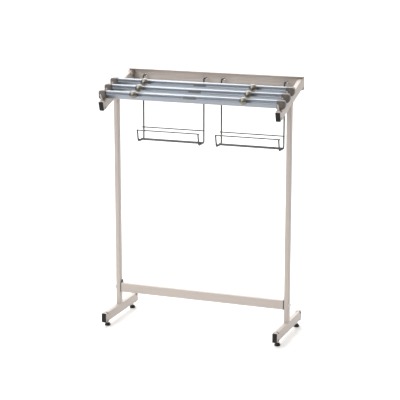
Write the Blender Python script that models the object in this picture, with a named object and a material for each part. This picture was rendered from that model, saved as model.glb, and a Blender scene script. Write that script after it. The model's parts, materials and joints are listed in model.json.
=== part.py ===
"""Free-standing newspaper rack.

Two side frames of rectangular steel tube (foot, upright and sloping arm) are joined by a
crossbar near the floor and a channel rail behind the arms. Three clamping newspaper holders
lie across the arms, each behind its own pair of prongs, and two wire magazine trays hook
into the rail. Metres, +Z up, front towards -Y. The origin is on the floor, in the middle of the
rack's outer box.
"""

import math

import bmesh
import bpy
from mathutils import Matrix, Vector

# Driving dimensions
FRAME_SPACING = 0.579          # between the middles of the two side frames
TUBE_WIDTH = 0.015             # foot, upright and arm, across the rack
TUBE_HEIGHT = 0.030            # foot and arm
TUBE_WALL = 0.0015
TUBE_CORNER = 0.0022
UPRIGHT_DEPTH = 0.020
FOOT_REACH_FRONT = 0.124       # from the upright's middle to the end of the foot tube
FOOT_REACH_BACK = 0.133
ARM_SLOPE = math.radians(17)   # the arms fall towards the front
ARM_TOP_AT_UPRIGHT = 0.775     # height of the arm's top face over the upright's middle
ARM_REACH_FRONT = 0.123
GAP = 0.0003                   # between touching pieces

CAP_PLATE = 0.003              # plastic caps in the tube ends
CAP_EDGE = 0.0008
CAP_PLUG = 0.014

GLIDE_HEIGHT = 0.017           # floor to the foot's underside
GLIDE_INSET = 0.027            # from the end of the foot tube
GLIDE_STUD_RADIUS = 0.004
GLIDE_STUD_IN_FOOT = 0.012
GLIDE_PAD_RADIUS = 0.0092
GLIDE_PAD_HEIGHT = 0.009
GLIDE_PAD_FLOOR = 0.004        # plastic under the stud's end
GLIDE_CHAMFER = 0.0008

CROSSBAR_MIDDLE_Z = 0.104
CROSSBAR_HEIGHT = 0.030
CROSSBAR_DEPTH = 0.015
END_PLATE = 0.003
END_PLATE_SETBACK = 0.0006     # behind the crossbar's front face
END_PLATE_TAB_RISE = 0.009
END_PLATE_TAB_SETBACK = 0.009
CROSSBAR_BOLT_RADIUS = 0.003
CROSSBAR_BOLT_HEAD = (0.0065, 0.0045)   # radius and height
CROSSBAR_BOLT_PAST_PLATE = 0.008
BOLT_DOME = (0.72, 0.45)       # flat part of a head's radius, and straight part of its height

RAIL_REACH = 0.105             # from the upright's middle to the channel's open front
RAIL_DEPTH = 0.020
RAIL_SHEET = 0.002
RAIL_PLAY = 0.0008             # spare height inside the channel, over what the arms need
RAIL_BEND = 0.003              # outer bend radius
BRACKET_SHEET = 0.003
BRACKET_HEIGHT = 0.022
BRACKET_PAST_RAIL = 0.009      # how far it stands out of the channel
BRACKET_MIDDLE_BELOW_TOP = 0.0235
RAIL_BOLT_RADIUS = 0.0025
RAIL_BOLT_HEAD = (0.005, 0.0035)
RAIL_BOLT_IN_ARM = 0.006
RAIL_BOLT_FROM_FRONT = 0.006   # behind the bracket's front edge

HOLDER_COUNT = 3
HOLDER_FIRST = 0.0965          # from the upright's middle forward to the first holder
HOLDER_PITCH = 0.047           # along the arm
BACK_BAR = 0.007               # thicknesses, front to back
CLAMP_BAR = 0.0074
JAW_GAP = 0.0006
BAR_HEIGHT = 0.0245
BAR_CHAMFER = 0.0016
BAR_END_CLEARANCE = 0.0012     # between a bar's end and the arm's inner face
CLAMP_WAIST = 0.0118           # up from the clamp bar's foot to where its jaw starts to slope
CLAMP_FOOT = 0.003             # thickness of the jaw at its foot
CAP_OVER_BAR = 0.0005
HOLDER_CAP_LENGTH = 0.0254
HOLDER_CAP_DEPTH = 0.024
HOLDER_CAP_HEIGHT = 0.025
HOLDER_CAP_CORNER = 0.005
HOLDER_CAP_END_RADIUS = 0.009
HOLDER_CAP_END_TURN = 80       # degrees of that round
HOLDER_CAP_END_STEPS = 5
HOLDER_CAP_GROOVE = (0.0024, 0.0012, 0.0008)   # place, width and depth
CHAMBER = (0.0034, 0.0124)     # slot through the back bar that takes the caps' spigots
CHAMBER_ABOVE_FOOT = 0.0025
SPIGOT_LENGTH = 0.016

KNOB_SPACING = 0.360
KNOB_BELOW_TOP = 0.0058
KNOB_RADIUS = 0.0125
KNOB_COLLAR_RADIUS = 0.006
KNOB_COLLAR = 0.003
STUD_RADIUS = 0.003
STUD_CLEARANCE = 0.0003
STUD_PAST_CLAMP = 0.0062

LABEL = (0.042, 0.0006, 0.006) # plain strip on each clamp bar
LABEL_BELOW_TOP = 0.0088

PRONG_RADIUS = 0.00225
PRONG_LENGTH = 0.024
PRONG_LEAN = math.radians(33)
PRONG_AHEAD = 0.0006           # between a holder cap and the prong's foot
PRONG_TIP = 0.0008

WIRE_RADIUS = 0.0025           # magazine trays: the bent wires
ROD_RADIUS = 0.002             # and the straight rods welded on them
WIRE_BEND = 0.008
HOOK_BEND = 0.005              # the two tighter bends of a hook
WIRE_CLEARANCE = 0.0008
WELD_SINK = 0.0008             # how deep a rod sinks into a wire
TRAY_WIDTH = 0.210             # between the middles of a tray's two wires
TRAY_SPACING = 0.270
TRAY_FLOOR_Z = 0.585
TRAY_FLOOR_DEPTH = 0.046
TRAY_LIP = 0.040
TRAY_LIP_LEAN = math.radians(12)
TRAY_TAIL = 0.012              # wire turned up behind the rail's web
TRAY_ROD_END = 0.004           # rods run past the outer wires

ROUND = 16                     # sides of turned pieces
PIN_ROUND = 10
KNOB_ROUND = 18
WIRE_ROUND = 8
CAP_CORNER_STEPS = 3

# What follows from them
SLOPE = math.tan(ARM_SLOPE)
HALF_SPACING = FRAME_SPACING / 2
INNER_FACE = HALF_SPACING - TUBE_WIDTH / 2
OUTER_FACE = HALF_SPACING + TUBE_WIDTH / 2
HOLDER_DEPTH = BACK_BAR + JAW_GAP + CLAMP_BAR
KNOB_REACH = KNOB_COLLAR + KNOB_RADIUS
FRONT_EXTENT = HOLDER_FIRST + HOLDER_DEPTH / 2 + KNOB_REACH + KNOB_RADIUS
BACK_EXTENT = FOOT_REACH_BACK + GAP + CAP_PLATE
UPRIGHT_Y = (FRONT_EXTENT - BACK_EXTENT) / 2
FOOT_TOP = GLIDE_HEIGHT + TUBE_HEIGHT
ARM_PLUMB = TUBE_HEIGHT / math.cos(ARM_SLOPE)

RAIL_FRONT_Y = UPRIGHT_Y + RAIL_REACH
RAIL_BACK_Y = RAIL_FRONT_Y + RAIL_DEPTH
WEB_FRONT_Y = RAIL_BACK_Y - RAIL_SHEET
ARM_REAR_Y = WEB_FRONT_Y - GAP
RAIL_HEIGHT = 2 * (RAIL_SHEET + GAP) + ARM_PLUMB + (RAIL_DEPTH - RAIL_SHEET) * SLOPE + RAIL_PLAY

SIDES = (("left", -1), ("right", 1))
HOLDERS = ("front", "middle", "back")


def arm_top(y):
    """Height of the arm's top face."""
    return ARM_TOP_AT_UPRIGHT + (y - UPRIGHT_Y) * SLOPE


RAIL_TOP = arm_top(ARM_REAR_Y) + GAP + RAIL_SHEET
RAIL_BOTTOM = RAIL_TOP - RAIL_HEIGHT


# ---------------------------------------------------------------- tools

def clear_scene():
    for thing in list(bpy.data.objects):
        bpy.data.objects.remove(thing, do_unlink=True)


def material(name, colour, roughness, metallic=0.0):
    made = bpy.data.materials.new(name)
    made.use_nodes = True
    shader = made.node_tree.nodes["Principled BSDF"]
    shader.inputs["Base Color"].default_value = (*colour, 1.0)
    shader.inputs["Roughness"].default_value = roughness
    shader.inputs["Metallic"].default_value = metallic
    return made


def add_object(name, mesh_maker, finish, smooth_angle=35, pivot=(0, 0, 0)):
    """A bmesh in world coordinates becomes an object whose origin is at the pivot."""
    bmesh.ops.remove_doubles(mesh_maker, verts=mesh_maker.verts, dist=1e-6)
    bmesh.ops.recalc_face_normals(mesh_maker, faces=mesh_maker.faces)
    bmesh.ops.translate(mesh_maker, verts=mesh_maker.verts, vec=-Vector(pivot))
    mesh = bpy.data.meshes.new(name)
    mesh_maker.to_mesh(mesh)
    mesh_maker.free()
    mesh.shade_smooth()
    mesh.set_sharp_from_angle(angle=math.radians(smooth_angle))
    made = bpy.data.objects.new(name, mesh)
    made.location = pivot
    bpy.context.scene.collection.objects.link(made)
    if finish is not None:
        mesh.materials.append(finish)
    return made


def rounded_rectangle(width, height, radius, steps=2):
    """Points round a rectangle with round corners, anticlockwise."""
    points = []
    corners = ((1, 1, 0), (-1, 1, 90), (-1, -1, 180), (1, -1, 270))
    for right, up, start in corners:
        for step in range(steps + 1):
            angle = math.radians(start + 90 * step / steps)
            u = right * (width / 2 - radius) + radius * math.cos(angle)
            v = up * (height / 2 - radius) + radius * math.sin(angle)
            points.append((u, v))
    return points


def join_rings(mesh_maker, rings, close=False):
    """Quads between rings of vertices that hold the same number each."""
    pairs = list(zip(rings, rings[1:]))
    if close:
        pairs.append((rings[-1], rings[0]))
    for low, high in pairs:
        for i in range(len(low)):
            j = (i + 1) % len(low)
            mesh_maker.faces.new((low[i], low[j], high[j], high[i]))


def loft(rings):
    """A solid through rings of points, closed by a face at each end."""
    made = bmesh.new()
    rows = [[made.verts.new(point) for point in ring] for ring in rings]
    join_rings(made, rows)
    made.faces.new(rows[0])
    made.faces.new(rows[-1])
    return made


def hollow(section, wall, corner, place):
    """A tube: place(u, v, end) puts a point of the section at one end or the other."""
    width, height = section
    inner_corner = max(corner - wall, corner / 4)
    outer = rounded_rectangle(width, height, corner)
    inner = rounded_rectangle(width - 2 * wall, height - 2 * wall, inner_corner)
    made = bmesh.new()
    rows = []
    for points, end in ((outer, 0), (outer, 1), (inner, 1), (inner, 0)):
        rows.append([made.verts.new(place(u, v, end)) for u, v in points])
    join_rings(made, rows, close=True)
    return made


def turned(profile, sides, frame):
    """A solid of revolution: (radius, height) points from pole to pole, round frame's Z."""
    made = bmesh.new()
    rows = []
    for radius, height in profile[1:-1]:
        row = []
        for i in range(sides):
            angle = 2 * math.pi * i / sides
            point = Vector((radius * math.cos(angle), radius * math.sin(angle), height))
            row.append(made.verts.new(frame @ point))
        rows.append(row)
    join_rings(made, rows)
    for row, (_, height) in ((rows[0], profile[0]), (rows[-1], profile[-1])):
        pole = made.verts.new(frame @ Vector((0, 0, height)))
        for i in range(sides):
            made.faces.new((row[i], row[(i + 1) % sides], pole))
    return made


def extruded(outline, start, end, axis):
    """A flat outline pushed from start to end along world X or Y."""
    rings = []
    for place in (start, end):
        if axis == "X":
            rings.append([(place, a, b) for a, b in outline])
        else:
            rings.append([(a, place, b) for a, b in outline])
    return loft(rings)


def box(low, high):
    outline = ((low[1], low[2]), (high[1], low[2]), (high[1], high[2]), (low[1], high[2]))
    return extruded(outline, low[0], high[0], "X")


def along(axis, origin):
    """A frame at origin whose Z points along axis."""
    return Matrix.Translation(origin) @ Vector(axis).to_track_quat("Z", "Y").to_matrix().to_4x4()


def cut(target, name, mesh_maker):
    """Takes a hidden shape out of an object."""
    cutter = add_object("cutter_" + name, mesh_maker, None)
    cutter.hide_render = True
    cutter.display_type = "WIRE"
    trim = target.modifiers.new(name, "BOOLEAN")
    trim.operation = "DIFFERENCE"
    trim.solver = "EXACT"
    trim.object = cutter


def hole(target, name, radius, start, end):
    """A round hole between two points."""
    start, end = Vector(start), Vector(end)
    length = (end - start).length
    profile = ((0, 0), (radius, 0), (radius, length), (0, length))
    cut(target, name, turned(profile, ROUND, along(end - start, start)))


# ---------------------------------------------------------------- side frames

def foot_tube(side_name, side, finish):
    x = side * HALF_SPACING
    middle = GLIDE_HEIGHT + TUBE_HEIGHT / 2
    ends = (UPRIGHT_Y - FOOT_REACH_FRONT, UPRIGHT_Y + FOOT_REACH_BACK)

    def place(u, v, end):
        return (x + u, ends[end], middle + v)

    foot = add_object(
        side_name + "_foot_tube",
        hollow((TUBE_WIDTH, TUBE_HEIGHT), TUBE_WALL, TUBE_CORNER, place),
        finish,
    )
    for where, y in glide_places():
        name = f"{side_name}_foot_{where}_hole"
        radius = GLIDE_STUD_RADIUS + STUD_CLEARANCE
        low = (x, y, GLIDE_HEIGHT - TUBE_WALL)
        high = (x, y, GLIDE_HEIGHT + 2 * TUBE_WALL)
        hole(foot, name, radius, low, high)


def upright_tube(side_name, side, finish):
    x = side * HALF_SPACING

    def place(u, v, end):
        y = UPRIGHT_Y + v
        if end == 0:
            return (x + u, y, FOOT_TOP + GAP)
        return (x + u, y, arm_top(y) - ARM_PLUMB - GAP)

    upright = add_object(
        side_name + "_upright_tube",
        hollow((TUBE_WIDTH, UPRIGHT_DEPTH), TUBE_WALL, TUBE_CORNER, place),
        finish,
    )
    y, z = crossbar_middle()
    reach = TUBE_WIDTH / 2 + TUBE_WALL
    name = side_name + "_upright_bolt_hole"
    radius = CROSSBAR_BOLT_RADIUS + STUD_CLEARANCE
    hole(upright, name, radius, (x - reach, y, z), (x + reach, y, z))


def arm_axes():
    """Unit vectors along the arm towards its front, and out of its top face."""
    forward = Vector((0, -math.cos(ARM_SLOPE), -math.sin(ARM_SLOPE)))
    outward = Vector((0, -math.sin(ARM_SLOPE), math.cos(ARM_SLOPE)))
    return forward, outward


def arm_front(side):
    """Middle of the arm tube's front end."""
    y = UPRIGHT_Y - ARM_REACH_FRONT
    outward = arm_axes()[1]
    return Vector((side * HALF_SPACING, y, arm_top(y))) - outward * TUBE_HEIGHT / 2


def arm_tube(side_name, side, finish):
    forward, outward = arm_axes()
    front = arm_front(side)

    def place(u, v, end):
        point = front + Vector((u, 0, 0)) + outward * v
        if end == 1:
            point -= forward * ((ARM_REAR_Y - point.y) / math.cos(ARM_SLOPE))
        return point

    arm = add_object(
        side_name + "_arm_tube",
        hollow((TUBE_WIDTH, TUBE_HEIGHT), TUBE_WALL, TUBE_CORNER, place),
        finish,
    )
    y, z = rail_bolt_middle()
    inner = side * INNER_FACE
    name = side_name + "_arm_bolt_hole"
    radius = RAIL_BOLT_RADIUS + STUD_CLEARANCE
    start = (inner - side * TUBE_WALL, y, z)
    end = (inner + side * 2 * TUBE_WALL, y, z)
    hole(arm, name, radius, start, end)


def end_cap(name, frame, finish):
    """Cap on a tube end: a face plate outside and a plug inside; frame's Z points out."""
    plug_size = (TUBE_WIDTH - 2 * TUBE_WALL - 2 * GAP, TUBE_HEIGHT - 2 * TUBE_WALL - 2 * GAP)
    plug_corner = min(TUBE_CORNER, plug_size[0] / 3)
    face_size = (TUBE_WIDTH - 2 * CAP_EDGE, TUBE_HEIGHT - 2 * CAP_EDGE)
    plug = rounded_rectangle(*plug_size, plug_corner)
    plate = rounded_rectangle(TUBE_WIDTH, TUBE_HEIGHT, TUBE_CORNER)
    face = rounded_rectangle(*face_size, TUBE_CORNER - CAP_EDGE / 2)
    levels = (
        (plug, GAP - CAP_PLUG),
        (plug, GAP),
        (plate, GAP),
        (plate, GAP + CAP_PLATE - CAP_EDGE),
        (face, GAP + CAP_PLATE),
    )
    rings = []
    for points, level in levels:
        rings.append([frame @ Vector((u, v, level)) for u, v in points])
    add_object(name, loft(rings), finish)


def end_frame(x_axis, y_axis, z_axis, origin):
    turn = Matrix((x_axis, y_axis, z_axis)).transposed().to_4x4()
    return Matrix.Translation(origin) @ turn


def end_caps(side_name, side, finish):
    across = Vector((1, 0, 0))
    up = Vector((0, 0, 1))
    x = side * HALF_SPACING
    middle = GLIDE_HEIGHT + TUBE_HEIGHT / 2
    front = end_frame(across, up, (0, -1, 0), (x, UPRIGHT_Y - FOOT_REACH_FRONT, middle))
    rear = end_frame(-across, up, (0, 1, 0), (x, UPRIGHT_Y + FOOT_REACH_BACK, middle))
    end_cap(side_name + "_foot_front_cap", front, finish)
    end_cap(side_name + "_foot_rear_cap", rear, finish)
    forward, outward = arm_axes()
    arm = end_frame(across, outward, forward, arm_front(side))
    end_cap(side_name + "_arm_front_cap", arm, finish)


# ---------------------------------------------------------------- glides

def glide_places():
    return (
        ("front", UPRIGHT_Y - FOOT_REACH_FRONT + GLIDE_INSET),
        ("rear", UPRIGHT_Y + FOOT_REACH_BACK - GLIDE_INSET),
    )


def glide(name, x, y, stud_finish, pad_finish):
    """A levelling foot: a threaded stud with a turning plastic pad on its lower end."""
    frame = Matrix.Translation((x, y, 0))
    bottom = GLIDE_PAD_FLOOR + GAP
    top = GLIDE_HEIGHT + GLIDE_STUD_IN_FOOT
    chamfer = GLIDE_CHAMFER
    stud = (
        (0, bottom),
        (GLIDE_STUD_RADIUS, bottom),
        (GLIDE_STUD_RADIUS, top - chamfer),
        (GLIDE_STUD_RADIUS - chamfer, top),
        (0, top),
    )
    pivot = (x, y, 0)
    add_object(name + "_stud", turned(stud, ROUND, frame), stud_finish, pivot=pivot)
    socket = GLIDE_STUD_RADIUS + GAP
    neck = (GLIDE_PAD_RADIUS + socket) / 2
    pad = (
        (0, 0),
        (GLIDE_PAD_RADIUS - chamfer, 0),
        (GLIDE_PAD_RADIUS, chamfer),
        (GLIDE_PAD_RADIUS, GLIDE_PAD_HEIGHT / 2),
        (neck, GLIDE_PAD_HEIGHT),
        (socket, GLIDE_PAD_HEIGHT),
        (socket, GLIDE_PAD_FLOOR),
        (0, GLIDE_PAD_FLOOR),
    )
    add_object(name + "_pad", turned(pad, ROUND, frame), pad_finish, pivot=pivot)


# ---------------------------------------------------------------- crossbar

def crossbar_middle():
    """Y and Z of the crossbar's middle, its front flush with the uprights."""
    return UPRIGHT_Y - UPRIGHT_DEPTH / 2 + CROSSBAR_DEPTH / 2, CROSSBAR_MIDDLE_Z


def crossbar(finish):
    y, z = crossbar_middle()
    half = INNER_FACE - END_PLATE - 2 * GAP

    def place(u, v, end):
        return ((-half, half)[end], y + u, z + v)

    section = (CROSSBAR_DEPTH, CROSSBAR_HEIGHT)
    add_object("crossbar", hollow(section, TUBE_WALL, TUBE_CORNER, place), finish)


def crossbar_plate(side_name, side, finish):
    """Plate between the crossbar and an upright, with a tab standing up behind."""
    y, z = crossbar_middle()
    front = y - CROSSBAR_DEPTH / 2 + END_PLATE_SETBACK
    back = UPRIGHT_Y + UPRIGHT_DEPTH / 2
    tab = front + END_PLATE_TAB_SETBACK
    low, high = z - CROSSBAR_HEIGHT / 2, z + CROSSBAR_HEIGHT / 2
    rise = high + END_PLATE_TAB_RISE
    outline = ((front, low), (back, low), (back, rise), (tab, rise), (tab, high), (front, high))
    outer = side * (INNER_FACE - GAP)
    inner = outer - side * END_PLATE
    name = f"crossbar_{side_name}_plate"
    plate = add_object(name, extruded(outline, inner, outer, "X"), finish)
    radius = CROSSBAR_BOLT_RADIUS + STUD_CLEARANCE
    start = (inner - side * END_PLATE, y, z)
    end = (outer + side * END_PLATE, y, z)
    hole(plate, name + "_hole", radius, start, end)


def bolt(name, radius, head, frame, length, finish):
    """A button-head bolt: frame's Z points out of its head, and its seat is at zero."""
    head_radius, head_height = head
    dome = head_radius * BOLT_DOME[0]
    shoulder = head_height * BOLT_DOME[1]
    profile = (
        (0, -length),
        (radius, -length),
        (radius, GAP),
        (head_radius, GAP),
        (head_radius, GAP + shoulder),
        (dome, GAP + head_height),
        (0, GAP + head_height),
    )
    add_object(name, turned(profile, ROUND, frame), finish)


def crossbar_bolt(side_name, side, finish):
    y, z = crossbar_middle()
    frame = along((side, 0, 0), (side * OUTER_FACE, y, z))
    length = TUBE_WIDTH + GAP + END_PLATE + CROSSBAR_BOLT_PAST_PLATE
    name = f"crossbar_{side_name}_bolt"
    bolt(name, CROSSBAR_BOLT_RADIUS, CROSSBAR_BOLT_HEAD, frame, length, finish)


# ---------------------------------------------------------------- rear rail

def bend(middle, radius, start, steps=2):
    """Points round a quarter turn from the start angle, in degrees."""
    points = []
    for step in range(steps + 1):
        angle = math.radians(start + 90 * step / steps)
        points.append((middle[0] + radius * math.cos(angle), middle[1] + radius * math.sin(angle)))
    return points


def rear_rail(finish):
    """A folded channel, open to the front, with a slot for each wire of the trays."""
    inner = RAIL_BEND - RAIL_SHEET
    low = (RAIL_BACK_Y - RAIL_BEND, RAIL_BOTTOM + RAIL_BEND)
    high = (RAIL_BACK_Y - RAIL_BEND, RAIL_TOP - RAIL_BEND)
    outline = [(RAIL_FRONT_Y, RAIL_BOTTOM)]
    outline += bend(low, RAIL_BEND, 270)
    outline += bend(high, RAIL_BEND, 0)
    outline += [(RAIL_FRONT_Y, RAIL_TOP), (RAIL_FRONT_Y, RAIL_TOP - RAIL_SHEET)]
    outline += reversed(bend(high, inner, 0))
    outline += reversed(bend(low, inner, 270))
    outline += [(RAIL_FRONT_Y, RAIL_BOTTOM + RAIL_SHEET)]
    rail = add_object("rear_rail", extruded(outline, -OUTER_FACE, OUTER_FACE, "X"), finish)
    _, z = tray_pivot()
    half = WIRE_RADIUS + WIRE_CLEARANCE
    for side_name, side in SIDES:
        for wire_name, x in tray_wires(side):
            low = (x - half, WEB_FRONT_Y - RAIL_SHEET, z - half)
            high = (x + half, RAIL_BACK_Y + RAIL_SHEET, z + half)
            cut(rail, f"rear_rail_{side_name}_tray_{wire_name}_slot", box(low, high))


def rail_bolt_middle():
    y = RAIL_FRONT_Y - BRACKET_PAST_RAIL + RAIL_BOLT_FROM_FRONT
    return y, RAIL_TOP - BRACKET_MIDDLE_BELOW_TOP


def rail_bracket(side_name, side, finish):
    """Plate inside the channel's end that lies against the arm's inner face."""
    y, z = rail_bolt_middle()
    outer = side * (INNER_FACE - GAP)
    inner = outer - side * BRACKET_SHEET
    low = (min(inner, outer), RAIL_FRONT_Y - BRACKET_PAST_RAIL, z - BRACKET_HEIGHT / 2)
    high = (max(inner, outer), WEB_FRONT_Y - GAP, z + BRACKET_HEIGHT / 2)
    name = f"rail_{side_name}_bracket"
    plate = add_object(name, box(low, high), finish)
    radius = RAIL_BOLT_RADIUS + STUD_CLEARANCE
    start = (inner - side * BRACKET_SHEET, y, z)
    end = (outer + side * BRACKET_SHEET, y, z)
    hole(plate, name + "_hole", radius, start, end)


def rail_bolt(side_name, side, finish):
    y, z = rail_bolt_middle()
    seat = side * (INNER_FACE - GAP - BRACKET_SHEET)
    frame = along((-side, 0, 0), (seat, y, z))
    length = BRACKET_SHEET + GAP + RAIL_BOLT_IN_ARM
    bolt(f"rail_{side_name}_bolt", RAIL_BOLT_RADIUS, RAIL_BOLT_HEAD, frame, length, finish)


# ---------------------------------------------------------------- holders

def holder_middle(index):
    """Y of a holder's middle; each stands one pitch further up the arm."""
    return UPRIGHT_Y - HOLDER_FIRST + index * HOLDER_PITCH * math.cos(ARM_SLOPE)


def holder_top(index):
    return arm_top(holder_middle(index)) + GAP + HOLDER_CAP_HEIGHT


def back_bar(name, index, half, finish):
    """Rear half of the clamp, with a slot from end to end for the caps' spigots."""
    rear = holder_middle(index) + HOLDER_DEPTH / 2
    front = rear - BACK_BAR
    top = holder_top(index) - CAP_OVER_BAR
    low = top - BAR_HEIGHT
    c = BAR_CHAMFER
    outline = (
        (front + c / 2, low),
        (rear - c, low),
        (rear, low + c),
        (rear, top - c),
        (rear - c, top),
        (front + c / 2, top),
        (front, top - c / 2),
        (front, low + c / 2),
    )
    bar = add_object(name, extruded(outline, -half, half, "X"), finish)
    slot_y, slot_z = chamber_middle(index)
    reach = half + HOLDER_CAP_LENGTH
    low_corner = (-reach, slot_y - CHAMBER[0] / 2, slot_z - CHAMBER[1] / 2)
    high_corner = (reach, slot_y + CHAMBER[0] / 2, slot_z + CHAMBER[1] / 2)
    cut(bar, name + "_chamber", box(low_corner, high_corner))
    stud_holes(bar, name, index, front - BACK_BAR / 2, rear + BACK_BAR / 2)


def clamp_bar(name, index, half, finish, pivot):
    """Front half: a flat upper face and a jaw that slopes back under it."""
    rear = holder_middle(index) + HOLDER_DEPTH / 2 - BACK_BAR - JAW_GAP
    front = rear - CLAMP_BAR
    top = holder_top(index) - CAP_OVER_BAR
    low = top - BAR_HEIGHT
    waist = low + CLAMP_WAIST
    c = BAR_CHAMFER
    outline = (
        (rear - CLAMP_FOOT, low),
        (rear, low + c / 2),
        (rear, top - c / 2),
        (rear - c / 2, top),
        (front + 2 * c, top),
        (front + c / 2, top - c / 2),
        (front, top - 2 * c),
        (front, waist),
        (front + c / 4, waist - c),
    )
    bar = add_object(name, extruded(outline, -half, half, "X"), finish, pivot=pivot)
    stud_holes(bar, name, index, front - CLAMP_BAR / 2, rear + JAW_GAP / 2)


def stud_holes(bar, name, index, front, rear):
    z = holder_top(index) - KNOB_BELOW_TOP
    for side_name, side in SIDES:
        x = side * KNOB_SPACING / 2
        radius = STUD_RADIUS + STUD_CLEARANCE
        hole(bar, f"{name}_{side_name}_hole", radius, (x, front, z), (x, rear, z))


def chamber_middle(index):
    y = holder_middle(index) + HOLDER_DEPTH / 2 - BACK_BAR / 2
    low = holder_top(index) - CAP_OVER_BAR - BAR_HEIGHT
    return y, low + CHAMBER_ABOVE_FOOT + CHAMBER[1] / 2


def holder_cap(name, index, side, half, finish):
    """End cap that rests on the arm: its foot follows the slope and its outer end is round."""
    y, top = holder_middle(index), holder_top(index)
    middle = top - HOLDER_CAP_HEIGHT / 2
    start = half + GAP
    slot_y, slot_z = chamber_middle(index)

    def section(reach, inset):
        size = (HOLDER_CAP_DEPTH - 2 * inset, HOLDER_CAP_HEIGHT - 2 * inset)
        corner = min(HOLDER_CAP_CORNER - inset / 3, size[0] / 3)
        ring = []
        for u, v in rounded_rectangle(*size, corner, CAP_CORNER_STEPS):
            slant = SLOPE * u if v < 0 else 0
            ring.append((side * reach, y + u, middle + v + slant))
        return ring

    def spigot(reach):
        width, height = CHAMBER[0] - 2 * GAP, CHAMBER[1] - 2 * GAP
        ring = []
        for u, v in rounded_rectangle(width, height, GAP, CAP_CORNER_STEPS):
            ring.append((side * reach, slot_y + u, slot_z + v))
        return ring

    groove_at, groove_wide, groove_deep = HOLDER_CAP_GROOVE
    rings = [spigot(start - SPIGOT_LENGTH), spigot(start), section(start, 0)]
    rings += [section(start + groove_at, 0), section(start + groove_at, groove_deep)]
    rings += [section(start + groove_at + groove_wide, groove_deep)]
    rings += [section(start + groove_at + groove_wide, 0)]
    for step in range(HOLDER_CAP_END_STEPS + 1):
        angle = math.radians(HOLDER_CAP_END_TURN * step / HOLDER_CAP_END_STEPS)
        reach = start + HOLDER_CAP_LENGTH - HOLDER_CAP_END_RADIUS * (1 - math.sin(angle))
        rings.append(section(reach, HOLDER_CAP_END_RADIUS * (1 - math.cos(angle))))
    add_object(name, loft(rings), finish)


def knob(name, index, side, finish):
    """Ball knob with its stud: the stud runs through the clamp bar into the back bar."""
    front = holder_middle(index) - HOLDER_DEPTH / 2
    pivot = (side * KNOB_SPACING / 2, front, holder_top(index) - KNOB_BELOW_TOP)
    end = -(CLAMP_BAR + STUD_PAST_CLAMP)
    profile = [(0, end), (STUD_RADIUS, end), (STUD_RADIUS, GAP), (KNOB_COLLAR_RADIUS, GAP)]
    start = math.asin(KNOB_COLLAR_RADIUS / KNOB_RADIUS)
    steps = KNOB_ROUND // 2
    for step in range(steps):
        angle = start + (math.pi - start) * step / steps
        height = KNOB_REACH - KNOB_RADIUS * math.cos(angle)
        profile.append((KNOB_RADIUS * math.sin(angle), height))
    profile.append((0, KNOB_REACH + KNOB_RADIUS))
    add_object(name, turned(profile, KNOB_ROUND, along((0, -1, 0), pivot)), finish, pivot=pivot)


def label(name, index, finish):
    length, thick, high = LABEL
    front = holder_middle(index) - HOLDER_DEPTH / 2 - GAP
    z = holder_top(index) - LABEL_BELOW_TOP
    low = (-length / 2, front - thick, z - high / 2)
    top = (length / 2, front, z + high / 2)
    add_object(name, box(low, top), finish)


def holder(index, finishes):
    prefix = HOLDERS[index] + "_holder"
    half = INNER_FACE - BAR_END_CLEARANCE
    y = holder_middle(index)
    origin = (0, y - HOLDER_DEPTH / 2, holder_top(index) - KNOB_BELOW_TOP)
    back_bar(prefix + "_back_bar", index, half, finishes["aluminium"])
    clamp_bar(prefix + "_clamp_bar", index, half, finishes["aluminium"], origin)
    label(prefix + "_label", index, finishes["label"])
    for side_name, side in SIDES:
        cap_name = f"{prefix}_{side_name}_cap"
        holder_cap(cap_name, index, side, half, finishes["holder_plastic"])
        knob(f"{prefix}_{side_name}_knob", index, side, finishes["knob_metal"])


def prong(name, index, side, finish):
    """A round prong on the arm that leans forward and stops its holder."""
    lean = Vector((0, -math.sin(PRONG_LEAN), math.cos(PRONG_LEAN)))
    level = Vector((0, math.cos(PRONG_LEAN), math.sin(PRONG_LEAN)))
    cap_front = holder_middle(index) - HOLDER_CAP_DEPTH / 2
    foot_y = cap_front - PRONG_AHEAD - PRONG_RADIUS / math.cos(PRONG_LEAN)
    foot = Vector((side * HALF_SPACING, foot_y, arm_top(foot_y) + GAP))
    rings = []
    for reach, radius in ((0, PRONG_RADIUS), (PRONG_LENGTH - PRONG_TIP, PRONG_RADIUS),
                          (PRONG_LENGTH, PRONG_RADIUS - PRONG_TIP)):
        ring = []
        for i in range(PIN_ROUND):
            angle = 2 * math.pi * i / PIN_ROUND
            point = foot + Vector((radius * math.cos(angle), 0, 0))
            point += level * radius * math.sin(angle) + lean * reach
            if reach == 0:
                rise = arm_top(point.y) + GAP - point.z
                point += lean * (rise / (lean.z - lean.y * SLOPE))
            ring.append(point)
        rings.append(ring)
    add_object(name, loft(rings), finish)


# ---------------------------------------------------------------- magazine trays

def tray_middle(side):
    return side * TRAY_SPACING / 2


def tray_wires(side):
    """X of the two bent wires of one tray."""
    middle = tray_middle(side)
    return (("left", middle - TRAY_WIDTH / 2), ("right", middle + TRAY_WIDTH / 2))


def tray_front_y():
    """Y of the wires where they hang in front of the rail."""
    return RAIL_FRONT_Y - WIRE_RADIUS - WIRE_CLEARANCE


def tray_pivot():
    """Y and Z where a hook crosses the middle of the rail's web."""
    return RAIL_BACK_Y - RAIL_SHEET / 2, (RAIL_BOTTOM + RAIL_TOP) / 2


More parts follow.
